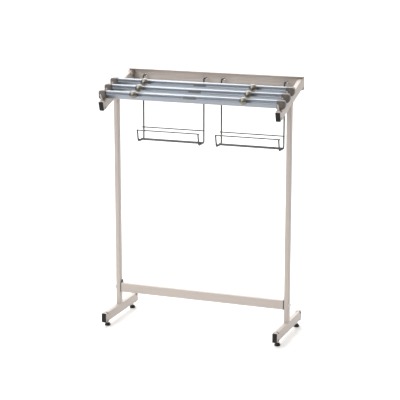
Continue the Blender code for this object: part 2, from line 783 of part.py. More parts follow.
def rounded_path(corners, radii, steps=4):
    """The corners of a bent wire in the YZ plane, with each inner corner turned to an arc."""
    points = [Vector(corners[0])]
    for before, here, after, radius in zip(corners, corners[1:], corners[2:], radii):
        here = Vector(here)
        back = (Vector(before) - here).normalized()
        ahead = (Vector(after) - here).normalized()
        half = back.angle(ahead) / 2
        cut_off = radius / math.tan(half)
        middle = here + (back + ahead).normalized() * (radius / math.sin(half))
        start = (here + back * cut_off - middle).normalized()
        end = (here + ahead * cut_off - middle).normalized()
        for step in range(steps + 1):
            points.append(middle + start.slerp(end, step / steps) * radius)
    points.append(Vector(corners[-1]))
    return points


def bent_wire(x, path, radius):
    """A round wire along a path in the YZ plane."""
    rings = []
    for i, point in enumerate(path):
        before = path[max(i - 1, 0)]
        after = path[min(i + 1, len(path) - 1)]
        run = (after - before).normalized()
        side = Vector((-run.y, run.x))
        if 0 < i < len(path) - 1:
            turn = (point - before).angle(after - point)
            stretch = 1 / math.cos(turn / 2)
        else:
            stretch = 1
        ring = []
        for k in range(WIRE_ROUND):
            angle = 2 * math.pi * (k + 0.5) / WIRE_ROUND
            flat = point + side * radius * stretch * math.sin(angle)
            ring.append((x + radius * math.cos(angle), flat.x, flat.y))
        rings.append(ring)
    return loft(rings)


def magazine_tray(side_name, side, finish):
    """Two bent wires with straight rods welded across them, all one piece."""
    pivot_y, pivot_z = tray_pivot()
    front = tray_front_y()
    tail_y = RAIL_BACK_Y + GAP + HOOK_BEND
    lip_y = front - TRAY_FLOOR_DEPTH
    lip_out = TRAY_LIP * math.sin(TRAY_LIP_LEAN)
    lip_up = TRAY_LIP * math.cos(TRAY_LIP_LEAN)
    corners = (
        (tail_y, pivot_z + TRAY_TAIL),
        (tail_y, pivot_z),
        (front, pivot_z),
        (front, TRAY_FLOOR_Z),
        (lip_y, TRAY_FLOOR_Z),
        (lip_y - lip_out, TRAY_FLOOR_Z + lip_up),
    )
    path = rounded_path(corners, (HOOK_BEND, HOOK_BEND, WIRE_BEND, WIRE_BEND))
    seat = WIRE_RADIUS + ROD_RADIUS - WELD_SINK
    lip_seat = Vector((math.cos(TRAY_LIP_LEAN), math.sin(TRAY_LIP_LEAN))) * seat
    lip_end = Vector(corners[-1]) - Vector((0, ROD_RADIUS + WELD_SINK))
    floor = TRAY_FLOOR_Z + seat
    rods = (
        ("floor_back", front - 2 * WIRE_BEND + ROD_RADIUS, floor),
        ("floor_front", lip_y + 2 * WIRE_BEND - ROD_RADIUS, floor),
        ("lip", lip_end.x + lip_seat.x, lip_end.y + lip_seat.y),
        ("back", front - seat, TRAY_FLOOR_Z + TRAY_LIP),
    )
    middle = tray_middle(side)
    (_, left_x), (_, right_x) = tray_wires(side)
    tray = add_object(
        side_name + "_magazine_tray",
        bent_wire(left_x, path, WIRE_RADIUS),
        finish,
        pivot=(middle, pivot_y, pivot_z),
    )
    weld(tray, side_name + "_tray_right_wire", bent_wire(right_x, path, WIRE_RADIUS))
    reach = TRAY_WIDTH / 2 + TRAY_ROD_END
    profile = ((0, -reach), (ROD_RADIUS, -reach), (ROD_RADIUS, reach), (0, reach))
    for name, y, z in rods:
        rod = turned(profile, WIRE_ROUND, along((1, 0, 0), (middle, y, z)))
        weld(tray, f"{side_name}_tray_{name}_rod", rod)


def weld(target, name, mesh_maker):
    """Joins a hidden shape to an object."""
    guide = add_object("guide_" + name, mesh_maker, None)
    guide.hide_render = True
    guide.display_type = "WIRE"
    union = target.modifiers.new(name, "BOOLEAN")
    union.operation = "UNION"
    union.solver = "EXACT"
    union.object = guide


# ---------------------------------------------------------------- the whole rack

def build():
    clear_scene()
    paint = material("warm_grey_powder_coat", (0.60, 0.57, 0.54), 0.45)
    black = material("black_plastic", (0.018, 0.017, 0.017), 0.5)
    dark_steel = material("dark_steel", (0.13, 0.12, 0.11), 0.4, 0.8)
    zinc = material("zinc_plated_steel", (0.62, 0.61, 0.58), 0.35, 0.9)
    wire = material("black_coated_wire", (0.02, 0.02, 0.02), 0.4)
    holder_finishes = {
        "aluminium": material("brushed_aluminium", (0.66, 0.68, 0.71), 0.3, 1.0),
        "holder_plastic": material("grey_brown_plastic", (0.155, 0.13, 0.115), 0.45),
        "knob_metal": material("antique_nickel", (0.42, 0.39, 0.32), 0.22, 1.0),
        "label": material("dark_label", (0.07, 0.07, 0.075), 0.35),
    }
    for side_name, side in SIDES:
        foot_tube(side_name, side, paint)
        upright_tube(side_name, side, paint)
        arm_tube(side_name, side, paint)
        end_caps(side_name, side, black)
        for where, y in glide_places():
            glide(f"{side_name}_{where}_glide", side * HALF_SPACING, y, zinc, black)
        crossbar_plate(side_name, side, dark_steel)
        crossbar_bolt(side_name, side, zinc)
        rail_bracket(side_name, side, paint)
        rail_bolt(side_name, side, dark_steel)
        for index in range(HOLDER_COUNT):
            prong(f"{side_name}_{HOLDERS[index]}_prong", index, side, paint)
        magazine_tray(side_name, side, wire)
    crossbar(paint)
    rear_rail(paint)
    for index in range(HOLDER_COUNT):
        holder(index, holder_finishes)


build()
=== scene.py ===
"""Looks of a free-standing newspaper rack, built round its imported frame.

Every piece is modelled in metres in the frame's own place, on one body of the frame. Sizes
come from the boxes of the frame's nodes and from its joints; those that these don't give,
such as wall thickness and bend radii, are named below.
"""

import json
import math
from contextlib import contextmanager

import bmesh
import bpy
from mathutils import Matrix, Vector


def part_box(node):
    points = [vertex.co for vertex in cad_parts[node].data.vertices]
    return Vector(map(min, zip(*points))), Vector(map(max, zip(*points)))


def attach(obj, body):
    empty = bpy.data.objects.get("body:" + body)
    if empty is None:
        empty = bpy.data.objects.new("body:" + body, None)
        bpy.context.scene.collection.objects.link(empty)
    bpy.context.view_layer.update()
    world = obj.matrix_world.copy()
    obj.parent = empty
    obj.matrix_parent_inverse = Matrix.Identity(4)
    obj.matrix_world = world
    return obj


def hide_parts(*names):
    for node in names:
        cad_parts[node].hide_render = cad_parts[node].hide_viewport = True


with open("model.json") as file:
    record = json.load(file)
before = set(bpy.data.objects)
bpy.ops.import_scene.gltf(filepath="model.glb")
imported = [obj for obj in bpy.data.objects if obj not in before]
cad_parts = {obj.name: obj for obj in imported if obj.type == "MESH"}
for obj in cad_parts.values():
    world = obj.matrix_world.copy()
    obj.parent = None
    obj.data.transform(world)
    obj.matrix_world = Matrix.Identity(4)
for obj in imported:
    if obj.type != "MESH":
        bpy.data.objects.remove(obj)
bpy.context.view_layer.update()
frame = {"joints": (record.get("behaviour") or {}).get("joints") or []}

SIDES = (("left", -1), ("right", 1))
HOLDERS = ("front", "middle", "back")
ENDS = ("front", "rear")
GAP = 0.0003

# Sizes that the frame's boxes don't give
NEAR = 0.0001  # this close to a plane counts as lying on it
MERGE = 0.000005  # points this close become one
BROAD_FACE = 0.00002  # square metres, past which a face isn't part of a rounded edge
BENT = math.radians(12)
ARM_SLOPE = math.radians(17)
TUBE_WALL = 0.0015
TUBE_CORNER = 0.0022
SHEET = 0.002  # the folded rail
SHEET_BEND = 0.003
SHEET_EDGE = 0.0003  # softening of the rail's, plates' and brackets' cut edges
SLOT = 0.0066  # width and height of the rail's slots for the trays' hooks
SLOT_CORNER = 0.0012
BRACKET_CORNER = 0.004
PLATE_CORNER = 0.0028
PLATE_FRONT = 0.009  # depth of a crossbar plate in front of its raised tab
WELD_RADIUS = 0.0011
CROSSBAR_WELD_RADIUS = 0.0008
WELD_RIPPLE = 0.0009  # length of a ripple
WELD_SWELL = (0.9, 1.12)  # thickness of every other ripple
WELD_SINK = 0.0008

PLUG_PLATE = 0.62  # share of a plug's reach that is straight
PLUG_CROWN = ((0.26, 0.0011), (0.12, 0.0028))  # share of the reach, and width taken off
PLUG_RIBS = 3
PLUG_RIB_STEP = 0.0004
PLUG_RIB_FLARE = (1.075, 1.03, 1)
PLUG_EDGE = 0.00025

THREAD_DEPTH = 0.55  # share of the pitch
GLIDE_PITCH = 0.00125
PAD_RIM, PAD_COLLAR, PAD_CONE = 0.3, 0.2, 0.5  # shares of a pad's height
PAD_RIM_ROUND = 0.0006
PAD_FOOT_ROUND = 0.0007
PAD_HOLE_LIP = 0.0002
PAD_TREAD = (0.0016, 0.0004, 0.0005)  # the ring it stands on, its wall and its height
PAD_EDGE = 0.0002

BOLT_HEADS = {"crossbar": (0.0065, 0.0045, 0.003), "rail": (0.005, 0.0035, 0.0025)}
BOLT_SEAT_SHARE = 0.45  # straight part of a bolt's head
BOLT_DOME = ((0.28, 0.93), (0.17, 0.84), (0.10, 0.72))  # rises, and shares of the radius
BOLT_KEY = 0.42  # share of the head's radius
BOLT_KEY_FLOOR = 0.4  # share of the head's height
BOLT_TIP_ROUND = 0.0004
BOLT_EDGE = 0.00018

CLAMP_FOOT = 0.003  # thickness of the clamp bar's lower edge
CLAMP_WAIST = 0.0118  # up from that edge to where the jaw starts to slope
CLAMP_WAIST_ROUND = 0.0007
CLAMP_TOP_ROUND = 0.0032
CHANNEL_LIP = 0.0011  # of the label channel along the clamp bar
CHANNEL_WALL = 0.0002
CHANNEL_DEPTH = 0.00035
SPINE_ROUND = 0.0018  # the back bar
SPINE_CHANNEL = (0.0036, 0.0005, 0.0006)  # lip, wall and depth
SPINE_GROOVE = (0.0012, 0.0003, 0.0003)
BAR_EDGE = 0.00025
CAP_END_ROUND = 0.009
CAP_END_TURN = 83  # degrees of that rounding before the flat end
CAP_END_STEPS = 9
CAP_END_RIM = 0.0008
CAP_CORNER = 0.005
CAP_GROOVE = (0.0024, 0.0012, 0.0008)  # place, width and depth
CAP_GROOVE_WALL = 0.00002
CAP_GROOVE_LIFT = 0.0008
CAP_SEAT_RIM = 0.0005
CAP_EDGE = 0.0002
KNOB_RADIUS = 0.0125
KNOB_NECK = 0.0052
KNOB_COLLAR_RADIUS = 0.006
KNOB_COLLAR = 0.003
KNOB_TURNING = (  # drops below the ball, and the radius at the end of each
    (0.0003, 0.0056), (0.0004, KNOB_NECK), (0.0012, KNOB_NECK), (0.0004, 0.0055),
    (0.0002, KNOB_COLLAR_RADIUS),
)
KNOB_CHAMFER = (0.0002, 0.97)  # its height, and the share of the radius left
STUD_RADIUS = 0.003
STUD_PITCH = 0.00125
LABEL_CORNER = 0.0009
LABEL_RIM = 0.0007
LABEL_WALL = 0.0002
LABEL_SUNK = 0.45  # share of the label's thickness
LABEL_EDGE = 0.0001
PRONG_LEAN = math.radians(33)
PRONG_LENGTH = 0.024
PRONG_AHEAD = 0.0006
PRONG_DOME = 0.8  # share of the pin's radius
PRONG_WELD = (0.0002, 0.0009)  # out from the pin, and its thickness

WIRE_RADIUS = 0.0025
WIRE_BEND = 0.008
WIRE_CLEARANCE = 0.0008
WIRE_START = 0.0005  # first short length, which takes the end's rounding
WIRE_END_ROUND = 0.0006
HOOK_BEND = 0.005
ROD_RADIUS = 0.002
ROD_END_ROUND = 0.0007
NUGGET_RADIUS = 0.0022
NUGGET_SHAPE = (1.25, 0.85, 0.85)
TRAY_FLOOR_DEPTH = 0.046
TRAY_LIP = 0.040
TRAY_LIP_LEAN = math.radians(12)
TRAY_TAIL = 0.012
TRAY_ROD_END = 0.004

# Places that the frame gives
ACROSS = Vector((1, 0, 0))
UP = Vector((0, 0, 1))
ARM_UP = Vector((0, -math.sin(ARM_SLOPE), math.cos(ARM_SLOPE)))
ARM_FORWARD = Vector((0, -math.cos(ARM_SLOPE), -math.sin(ARM_SLOPE)))
PIVOTS = {joint["child"]: Vector(joint["pos_m"]) for joint in frame["joints"] if "pos_m" in joint}
FOOT_LOW, FOOT_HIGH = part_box("left_foot_tube")
TUBE = (FOOT_HIGH.x - FOOT_LOW.x, FOOT_HIGH.z - FOOT_LOW.z)
HALF_SPACING = -(FOOT_LOW.x + FOOT_HIGH.x) / 2
ARM_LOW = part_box("left_arm_tube")[0]
ARM_REST = Vector((0, ARM_LOW.y, ARM_LOW.z + TUBE[1] * ARM_UP.z))  # front edge of the top face


def arm_top(y):
    """Height of the arms' top face."""
    return ARM_REST.z + (y - ARM_REST.y) * math.tan(ARM_SLOPE)


# -------- workbench

def take(piece):
    """Makes one object the only selected one, and the active one."""
    bpy.ops.object.select_all(action="DESELECT")
    piece.select_set(True)
    bpy.context.view_layer.objects.active = piece


def settle(piece):
    """Puts an object's place, turn and scale into its mesh."""
    take(piece)
    bpy.ops.object.transform_apply(location=True, rotation=True, scale=True)
    return piece


def start(kind, name, **settings):
    """Adds a primitive at its size and place, with nothing else selected."""
    bpy.ops.object.select_all(action="DESELECT")
    getattr(bpy.ops.mesh, f"primitive_{kind}_add")(**settings)
    piece = bpy.context.object
    piece.name = name
    piece.data.name = name
    return settle(piece)


def start_block(name, low, high):
    low, high = Vector(low), Vector(high)
    return start("cube", name, size=1, location=(low + high) / 2, scale=high - low)


def start_rod(name, foot, tip, radius, sides):
    foot, tip = Vector(foot), Vector(tip)
    turn = (tip - foot).to_track_quat("Z", "Y").to_euler()
    return start(
        "cylinder", name, vertices=sides, radius=radius, depth=(tip - foot).length,
        location=(foot + tip) / 2, rotation=turn,
    )


@contextmanager
def editing(piece):
    take(piece)
    bpy.ops.object.mode_set(mode="EDIT")
    bpy.ops.mesh.select_all(action="SELECT")
    yield
    bpy.ops.object.mode_set(mode="OBJECT")


def pick_faces(test):
    """Selects the faces whose middle and normal pass the test."""
    bpy.ops.mesh.select_mode(type="FACE")
    bpy.ops.mesh.select_all(action="DESELECT")
    mesh = bmesh.from_edit_mesh(bpy.context.object.data)
    mesh.normal_update()
    for face in mesh.faces:
        face.select_set(bool(test(face.calc_center_median(), face.normal)))
    mesh.select_flush_mode()
    bmesh.update_edit_mesh(bpy.context.object.data)


def pick_edges(test):
    """Selects the edges whose middle and direction pass the test."""
    bpy.ops.mesh.select_mode(type="EDGE")
    bpy.ops.mesh.select_all(action="DESELECT")
    mesh = bmesh.from_edit_mesh(bpy.context.object.data)
    for edge in mesh.edges:
        first, second = (vertex.co for vertex in edge.verts)
        edge.select_set(bool(test((first + second) / 2, (second - first).normalized())))
    mesh.select_flush_mode()
    bmesh.update_edit_mesh(bpy.context.object.data)


def picked_middle():
    mesh = bmesh.from_edit_mesh(bpy.context.object.data)
    corners = [vertex.co for vertex in mesh.verts if vertex.select]
    return sum(corners, Vector()) / len(corners)


def bevel(offset, segments=3):
    bpy.ops.mesh.bevel(offset=offset, segments=segments, affect="EDGES", clamp_overlap=True)


def inset(thickness, depth=0.0):
    bpy.ops.mesh.inset(thickness=thickness, depth=depth)


def pull(step):
    """Extrudes the picked faces by a step."""
    bpy.ops.mesh.extrude_region_move(TRANSFORM_OT_translate={"value": tuple(step)})


def spread(share, middle):
    bpy.ops.transform.resize(value=share, center_override=tuple(middle))


def turn_down(radius):
    """Scales what is picked round the Z axis, until its widest point is at the radius."""
    mesh = bmesh.from_edit_mesh(bpy.context.object.data)
    widest = max(vertex.co.xy.length for vertex in mesh.verts if vertex.select)
    spread((radius / widest, radius / widest, 1), (0, 0, 0))


def slice_off(point, outward):
    """Cuts the piece by a plane and throws away what lies outward of it."""
    bpy.ops.mesh.select_all(action="SELECT")
    bpy.ops.mesh.bisect(
        plane_co=tuple(point), plane_no=tuple(outward), use_fill=True, clear_outer=True
    )


def apply_modifiers(piece):
    take(piece)
    for modifier in list(piece.modifiers):
        bpy.ops.object.modifier_apply(modifier=modifier.name)


def soften(piece, width, segments=2, angle=30):
    """Rounds every sharp edge."""
    rounding = piece.modifiers.new("soften", "BEVEL")
    rounding.width = width
    rounding.segments = segments
    rounding.limit_method = "ANGLE"
    rounding.angle_limit = math.radians(angle)
    rounding.use_clamp_overlap = True
    apply_modifiers(piece)


def bore(piece, cutter):
    """Cuts one object out of another and removes the cutter."""
    cutting = piece.modifiers.new("bore", "BOOLEAN")
    cutting.operation = "DIFFERENCE"
    cutting.solver = "EXACT"
    cutting.object = cutter
    apply_modifiers(piece)
    bpy.data.objects.remove(cutter, do_unlink=True)


def join(name, pieces):
    bpy.ops.object.select_all(action="DESELECT")
    for piece in pieces:
        piece.select_set(True)
    bpy.context.view_layer.objects.active = pieces[0]
    bpy.ops.object.join()
    pieces[0].name = name
    return pieces[0]


def copy_to(model, name, placing):
    """A copy of a model with its own mesh, put in place by a matrix that may mirror it."""
    piece = bpy.data.objects.new(name, model.data.copy())
    bpy.context.scene.collection.objects.link(piece)
    piece.data.transform(placing)
    if placing.determinant() < 0:
        piece.data.flip_normals()
    return piece


def placing(right, up, out, origin):
    """A matrix that turns X, Y and Z to right, up and out, and moves zero to the origin."""
    turn = Matrix((right, up, out)).transposed().to_4x4()
    return Matrix.Translation(origin) @ turn


def put_away(model):
    bpy.data.objects.remove(model, do_unlink=True)


def mark_edges(piece):
    """Writes 1 on the points of rounded edges and 0 where a broad flat face meets them."""
    shape = bmesh.new()
    shape.from_mesh(piece.data)
    layer = shape.verts.layers.float.new("edge")
    for vertex in shape.verts:
        normals = [face.normal for face in vertex.link_faces]
        spreads = [normals[0].angle(normal, 0) for normal in normals[1:]]
        largest = max((face.calc_area() for face in vertex.link_faces), default=0)
        bent = max(spreads, default=0) > BENT
        vertex[layer] = 1.0 if bent and largest <= BROAD_FACE else 0.0
    shape.to_mesh(piece.data)
    shape.free()


def finish(piece, material, body, slot, node=None, smooth=35):
    """Shades a piece, gives it its material and body, and hides the frame's node that it stands
    for.
    """
    with editing(piece):
        bpy.ops.mesh.remove_doubles(threshold=MERGE)
        bpy.ops.mesh.normals_make_consistent(inside=False)
        if bmesh.from_edit_mesh(piece.data).calc_volume(signed=True) < 0:
            bpy.ops.mesh.flip_normals()
    bpy.ops.object.shade_smooth_by_angle(angle=math.radians(smooth))
    mark_edges(piece)
    piece.data.materials.clear()
    piece.data.materials.append(material)
    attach(piece, body)
    if node:
        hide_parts(node)
    return piece


def finished_copy(model, name, matrix, *finishing):
    finish(copy_to(model, name, matrix), *finishing)


# -------- finishes

class Socket:
    """An output of a finish's node tree, used like a number."""

    def __init__(self, mix, socket):
        self.mix = mix
        self.socket = socket

    def maths(self, operation, first, second=0.0):
        return self.mix.node("ShaderNodeMath", {"operation": operation}, {0: first, 1: second})

    def __add__(self, other):
        return self.maths("ADD", self, other)

    __radd__ = __add__

    def __sub__(self, other):
        return self.maths("SUBTRACT", self, other)

    def __rsub__(self, other):
        return self.maths("SUBTRACT", other, self)

    def __mul__(self, other):
        return self.maths("MULTIPLY", self, other)

    __rmul__ = __mul__

    def above(self, low, high):
        """0 under low, 1 over high, and even between them."""
        settings = {"interpolation_type": "SMOOTHSTEP"}
        return self.mix.node("ShaderNodeMapRange", settings, {0: self, 1: low, 2: high})


class Finish:
    """A material's node tree with a Principled shader."""

    def __init__(self, name, **constants):
        self.material = bpy.data.materials.new(name)
        self.material.use_nodes = True
        self.tree = self.material.node_tree
        self.shader = self.tree.nodes["Principled BSDF"]
        self.place = self.node("ShaderNodeTexCoord", {}, {}, "Object")
        self.edge = self.node("ShaderNodeAttribute", {"attribute_name": "edge"}, {}, "Fac")
        for key, value in constants.items():
            label = key.replace("_", " ").title().replace("Ior", "IOR")
            self.shader.inputs[label].default_value = value

    def node(self, kind, settings, inputs, output=0):
        made = self.tree.nodes.new(kind)
        for key, value in settings.items():
            setattr(made, key, value)
        for key, value in inputs.items():
            self.feed(made.inputs[key], value)
        return Socket(self, made.outputs[output])

    def feed(self, target, value):
        if isinstance(value, Socket):
            self.tree.links.new(value.socket, target)
        elif isinstance(value, tuple) and len(target.default_value) == 4:
            target.default_value = (*value[:3], 1.0)
        else:
            target.default_value = value

    def noise(self, size, detail=2.0, roughness=0.5, stretch=(1, 1, 1)):
        """Noise whose blotches are about that size in metres, longer along a stretched axis."""
        scale = tuple(1 / (size * share) for share in stretch)
        spot = self.node("ShaderNodeMapping", {}, {"Vector": self.place, "Scale": scale})
        inputs = {"Vector": spot, "Scale": 1.0, "Detail": detail, "Roughness": roughness}
        return self.node("ShaderNodeTexNoise", {}, inputs, "Fac")

    def blend(self, share, first, second):
        settings = {"data_type": "RGBA"}
        return self.node("ShaderNodeMix", settings, {0: share, 6: first, 7: second}, 2)

    def shade(self, colour, roughness, height=None, depth=0.0001):
        """Feeds the shader, with a relief of that depth where a height is given."""
        self.feed(self.shader.inputs["Base Color"], colour)
        self.feed(self.shader.inputs["Roughness"], roughness)
        if height is not None:
            inputs = {"Height": height, "Distance": depth, "Strength": 1.0}
            self.feed(self.shader.inputs["Normal"], self.node("ShaderNodeBump", {}, inputs))
        return self.material


def powder_coat():
    """Warm grey powder coat: fine orange peel, faint cloudiness, rubbed on its edges."""
    coat = Finish("warm_grey_powder_coat", coat_weight=0.12, coat_roughness=0.3)
    grit = coat.noise(0.0007, 3)
    peel = coat.noise(0.0026, 1)
    cloud = coat.noise(0.09, 2)
    rub = (coat.noise(0.0016, 3, 0.7) * coat.edge).above(0.46, 0.66)
    scratch = coat.noise(0.0011, 1, 0.5, (1, 18, 3)).above(0.735, 0.79) * 0.35
    body = coat.blend(cloud, (0.455, 0.402, 0.366), (0.485, 0.430, 0.392))
    body = coat.blend(grit.above(0.35, 0.75) * 0.16, body, (0.38, 0.335, 0.30))
    body = coat.blend(scratch, body, (0.60, 0.55, 0.51))
    body = coat.blend(rub * 0.5, body, (0.58, 0.53, 0.49))
    gloss = 0.43 + grit * 0.10 - rub * 0.10 - scratch * 0.2
    return coat.shade(body, gloss, grit * 0.4 + peel, 0.00012)


def black_moulding():
    """Black polyethylene, lightly grained, with paler rubbed corners."""
    plastic = Finish("black_moulded_plastic", specular_ior_level=0.25)
    grain = plastic.noise(0.0005, 2)
    dust = plastic.noise(0.012, 4, 0.6).above(0.48, 0.8)
    rub = (plastic.noise(0.0012, 2) * plastic.edge).above(0.40, 0.62)
    body = plastic.blend(dust * 0.35, (0.011, 0.010, 0.010), (0.026, 0.024, 0.023))
    body = plastic.blend(rub * 0.6, body, (0.055, 0.052, 0.050))
    return plastic.shade(body, 0.48 + grain * 0.2 + dust * 0.1, grain, 0.00009)


def coated_wire():
    """Steel wire dipped in black plastic, a little uneven in its thickness."""
    dip = Finish("black_coated_wire", coat_weight=0.25, coat_roughness=0.2)
    sag = dip.noise(0.004, 1)
    fine = dip.noise(0.0006, 2)
    rub = dip.noise(0.006, 4, 0.7).above(0.60, 0.74)
    body = dip.blend(rub, (0.016, 0.016, 0.016), (0.045, 0.044, 0.042))
    return dip.shade(body, 0.30 + fine * 0.12 + rub * 0.12, sag + fine * 0.3, 0.00018)


def zinc_plate():
    """Bright zinc with a faint yellow and blue bloom."""
    zinc = Finish("zinc_plated_steel", metallic=1.0)
    bloom = zinc.noise(0.006, 3)
    speck = zinc.noise(0.0009, 3)
    dirt = speck.above(0.58, 0.80) * 0.5
    body = zinc.blend(bloom, (0.66, 0.64, 0.59), (0.60, 0.62, 0.64))
    body = zinc.blend(dirt, body, (0.30, 0.28, 0.25))
    return zinc.shade(body, 0.26 + speck * 0.16 + dirt * 0.2, speck, 0.00005)


def dark_steel():
    """Blackened steel plate with bare rubbed edges."""
    steel = Finish("blackened_steel", metallic=0.85)
    mill = steel.noise(0.004, 4, 0.6)
    fine = steel.noise(0.0007, 2)
    rub = (fine * steel.edge).above(0.36, 0.58)
    body = steel.blend(mill, (0.075, 0.070, 0.066), (0.145, 0.135, 0.125))
    body = steel.blend(rub * 0.8, body, (0.34, 0.32, 0.30))
    return steel.shade(body, 0.46 + fine * 0.14 - rub * 0.15, fine + mill * 0.5, 0.00007)


def satin_aluminium():
    """Satin anodised extrusion: long die lines, a faint sheen, small handling marks, and a painted
    highlight on its rounded edges.
    """
    bar = Finish("satin_anodised_aluminium", metallic=1.0)
    lines = bar.noise(0.0005, 2, 0.6, (1400, 1, 1))
    bands = bar.noise(0.0028, 1, 0.5, (300, 1, 1))
    cloud = bar.noise(0.05, 2)
    nick = bar.noise(0.0009, 1, 0.5, (6, 1.5, 1.5)).above(0.745, 0.80)
    body = bar.blend(bands * 0.6, (0.305, 0.328, 0.362), (0.262, 0.284, 0.316))
    body = bar.blend(nick * 0.3, body, (0.55, 0.57, 0.59))
    # painted highlight: every rounded edge is lightened towards pale silver, in place of the light
    # those edges catch
    body = bar.blend(bar.edge * 0.7, body, (0.74, 0.75, 0.77))
    gloss = 0.25 + lines * 0.12 + cloud * 0.05 - nick * 0.08
    return bar.shade(body, gloss, lines + nick * 0.5, 0.0000015)


def holder_moulding():
    """Grey-brown moulded plastic with a spark-eroded grain."""
    plastic = Finish("grey_brown_moulded_plastic")
    grain = plastic.noise(0.00055, 3, 0.6)
    flow = plastic.noise(0.009, 2)
    rub = (plastic.noise(0.0014, 3) * plastic.edge).above(0.44, 0.64)
    body = plastic.blend(flow, (0.100, 0.086, 0.076), (0.132, 0.114, 0.102))
    body = plastic.blend(rub * 0.35, body, (0.27, 0.24, 0.22))
    return plastic.shade(body, 0.40 + grain * 0.16 - rub * 0.08, grain, 0.00010)


def antique_nickel():
    """Warm nickel plate, toned darker in blotches and with small dark pits."""
    nickel = Finish("antique_nickel_plate", metallic=1.0)
    tone = nickel.noise(0.007, 3)
    hair = nickel.noise(0.0004, 2, 0.5, (1, 1, 12))
    pit = nickel.noise(0.0008, 2).above(0.70, 0.78)
    body = nickel.blend(tone, (0.185, 0.172, 0.148), (0.262, 0.246, 0.216))
    body = nickel.blend(pit * 0.4, body, (0.14, 0.12, 0.10))
    return nickel.shade(body, 0.22 + tone * 0.10 + hair * 0.05, hair * 0.4 + pit, 0.000004)


def label_plastic():
    """Dark glossy strip with fine lengthwise grain, and a painted highlight on its rounded edges.
    """
    strip = Finish("dark_label_strip", coat_weight=0.5, coat_roughness=0.12)
    grain = strip.noise(0.0005, 2, 0.5, (12, 1, 1))
    smear = strip.noise(0.008, 3)
    body = strip.blend(smear, (0.105, 0.108, 0.115), (0.140, 0.143, 0.150))
    # painted highlight: the rounded rim edges are lightened, in place of the light they catch
    body = strip.blend(strip.edge * 0.5, body, (0.20, 0.20, 0.205))
    return strip.shade(body, 0.32 + smear * 0.18, grain, 0.00003)


def plain_floor():
    floor = Finish("pale_studio_floor")
    mottle = floor.noise(0.35, 3)
    body = floor.blend(mottle, (0.86, 0.86, 0.855), (0.88, 0.88, 0.875))
    return floor.shade(body, 0.62 + mottle * 0.05)


PAINT = powder_coat()
BLACK = black_moulding()
WIRE = coated_wire()
ZINC = zinc_plate()
STEEL = dark_steel()
ALUMINIUM = satin_aluminium()
MOULDING = holder_moulding()
NICKEL = antique_nickel()
LABEL = label_plastic()


# -------- side frames

def open_tube(piece, run):
    """Rounds a block's edges along its run and opens it from end to end as a tube."""
    with editing(piece):
        pick_edges(lambda middle, along: abs(along.dot(run)) > 0.99)
        bevel(TUBE_CORNER, 4)
        pick_faces(lambda middle, normal: abs(normal.dot(run)) > 0.9)
        inset(TUBE_WALL)
        bpy.ops.mesh.bridge_edge_loops()


def foot_tube(side_name):
    node = f"{side_name}_foot_tube"
    tube = start_block(f"{node}_skin", *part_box(node))
    open_tube(tube, Vector((0, 1, 0)))
    finish(tube, PAINT, "frame", "frame_paint", node)


def upright_tube(side_name):
    node = f"{side_name}_upright_tube"
    tube = start_block(f"{node}_skin", *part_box(node))
    with editing(tube):
        slice_off(ARM_REST - ARM_UP * TUBE[1] - UP * GAP, ARM_UP)
    open_tube(tube, UP)
    finish(tube, PAINT, "frame", "frame_paint", node)


def arm_front_middle(side):
    """Middle of the arm tube's front end."""
    front = ARM_LOW.y
    return Vector((side * HALF_SPACING, front, arm_top(front))) - ARM_UP * TUBE[1] / 2


def arm_tube(side_name, side):
    node = f"{side_name}_arm_tube"
    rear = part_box(node)[1].y
    front = arm_front_middle(side)
    length = (rear - front.y) / ARM_UP.z + TUBE[1]
    tube = start_block(
        f"{node}_skin", (-TUBE[0] / 2, -TUBE[1] / 2, -length), (TUBE[0] / 2, TUBE[1] / 2, 0)
    )
    tube.data.transform(placing(ACROSS, ARM_UP, ARM_FORWARD, front))
    with editing(tube):
        slice_off((0, rear, 0), (0, 1, 0))
    open_tube(tube, ARM_FORWARD)
    finish(tube, PAINT, "frame", "frame_paint", node)


def end_caps():
    """Pushed-in plastic caps, modelled once: a crowned plate on a ribbed plug."""
    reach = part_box("left_foot_tube")[0].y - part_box("left_foot_front_cap")[0].y
    plug_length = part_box("left_foot_front_cap")[1].y - FOOT_LOW.y
    half = (TUBE[0] / 2, TUBE[1] / 2)
    model = start_block(
        "cap_model", (-half[0], -half[1], GAP), (half[0], half[1], reach * PLUG_PLATE)
    )
    with editing(model):
        pick_edges(lambda middle, along: abs(along.z) > 0.9)
        bevel(TUBE_CORNER, 4)
        pick_faces(lambda middle, normal: normal.z > 0.9)
        for share, taken in PLUG_CROWN:
            pull((0, 0, reach * share))
            spread((1 - taken / TUBE[0], 1 - taken / TUBE[1], 1), picked_middle())
        pick_faces(lambda middle, normal: normal.z < -0.9)
        inset(TUBE_WALL + GAP)
        half_rib = plug_length / (2 * PLUG_RIBS)
        for rib in range(PLUG_RIBS):
            pull((0, 0, -half_rib))
            inset(PLUG_RIB_STEP)
            pull((0, 0, -half_rib))
            if rib < PLUG_RIBS - 1:
                spread(PLUG_RIB_FLARE, picked_middle())
    soften(model, PLUG_EDGE, 1, 40)
    for side_name, side in SIDES:
        x = side * HALF_SPACING
        middle = (FOOT_LOW.z + FOOT_HIGH.z) / 2
        places = {
            "foot_front": placing(ACROSS, UP, (0, -1, 0), (x, FOOT_LOW.y, middle)),
            "foot_rear": placing(-ACROSS, UP, (0, 1, 0), (x, FOOT_HIGH.y, middle)),
            "arm_front": placing(ACROSS, ARM_UP, ARM_FORWARD, arm_front_middle(side)),
        }
        for where, matrix in places.items():
            node = f"{side_name}_{where}_cap"
            finished_copy(
                model, f"{node}_moulding", matrix, BLACK, "frame", "black_plastic", node
            )
    put_away(model)


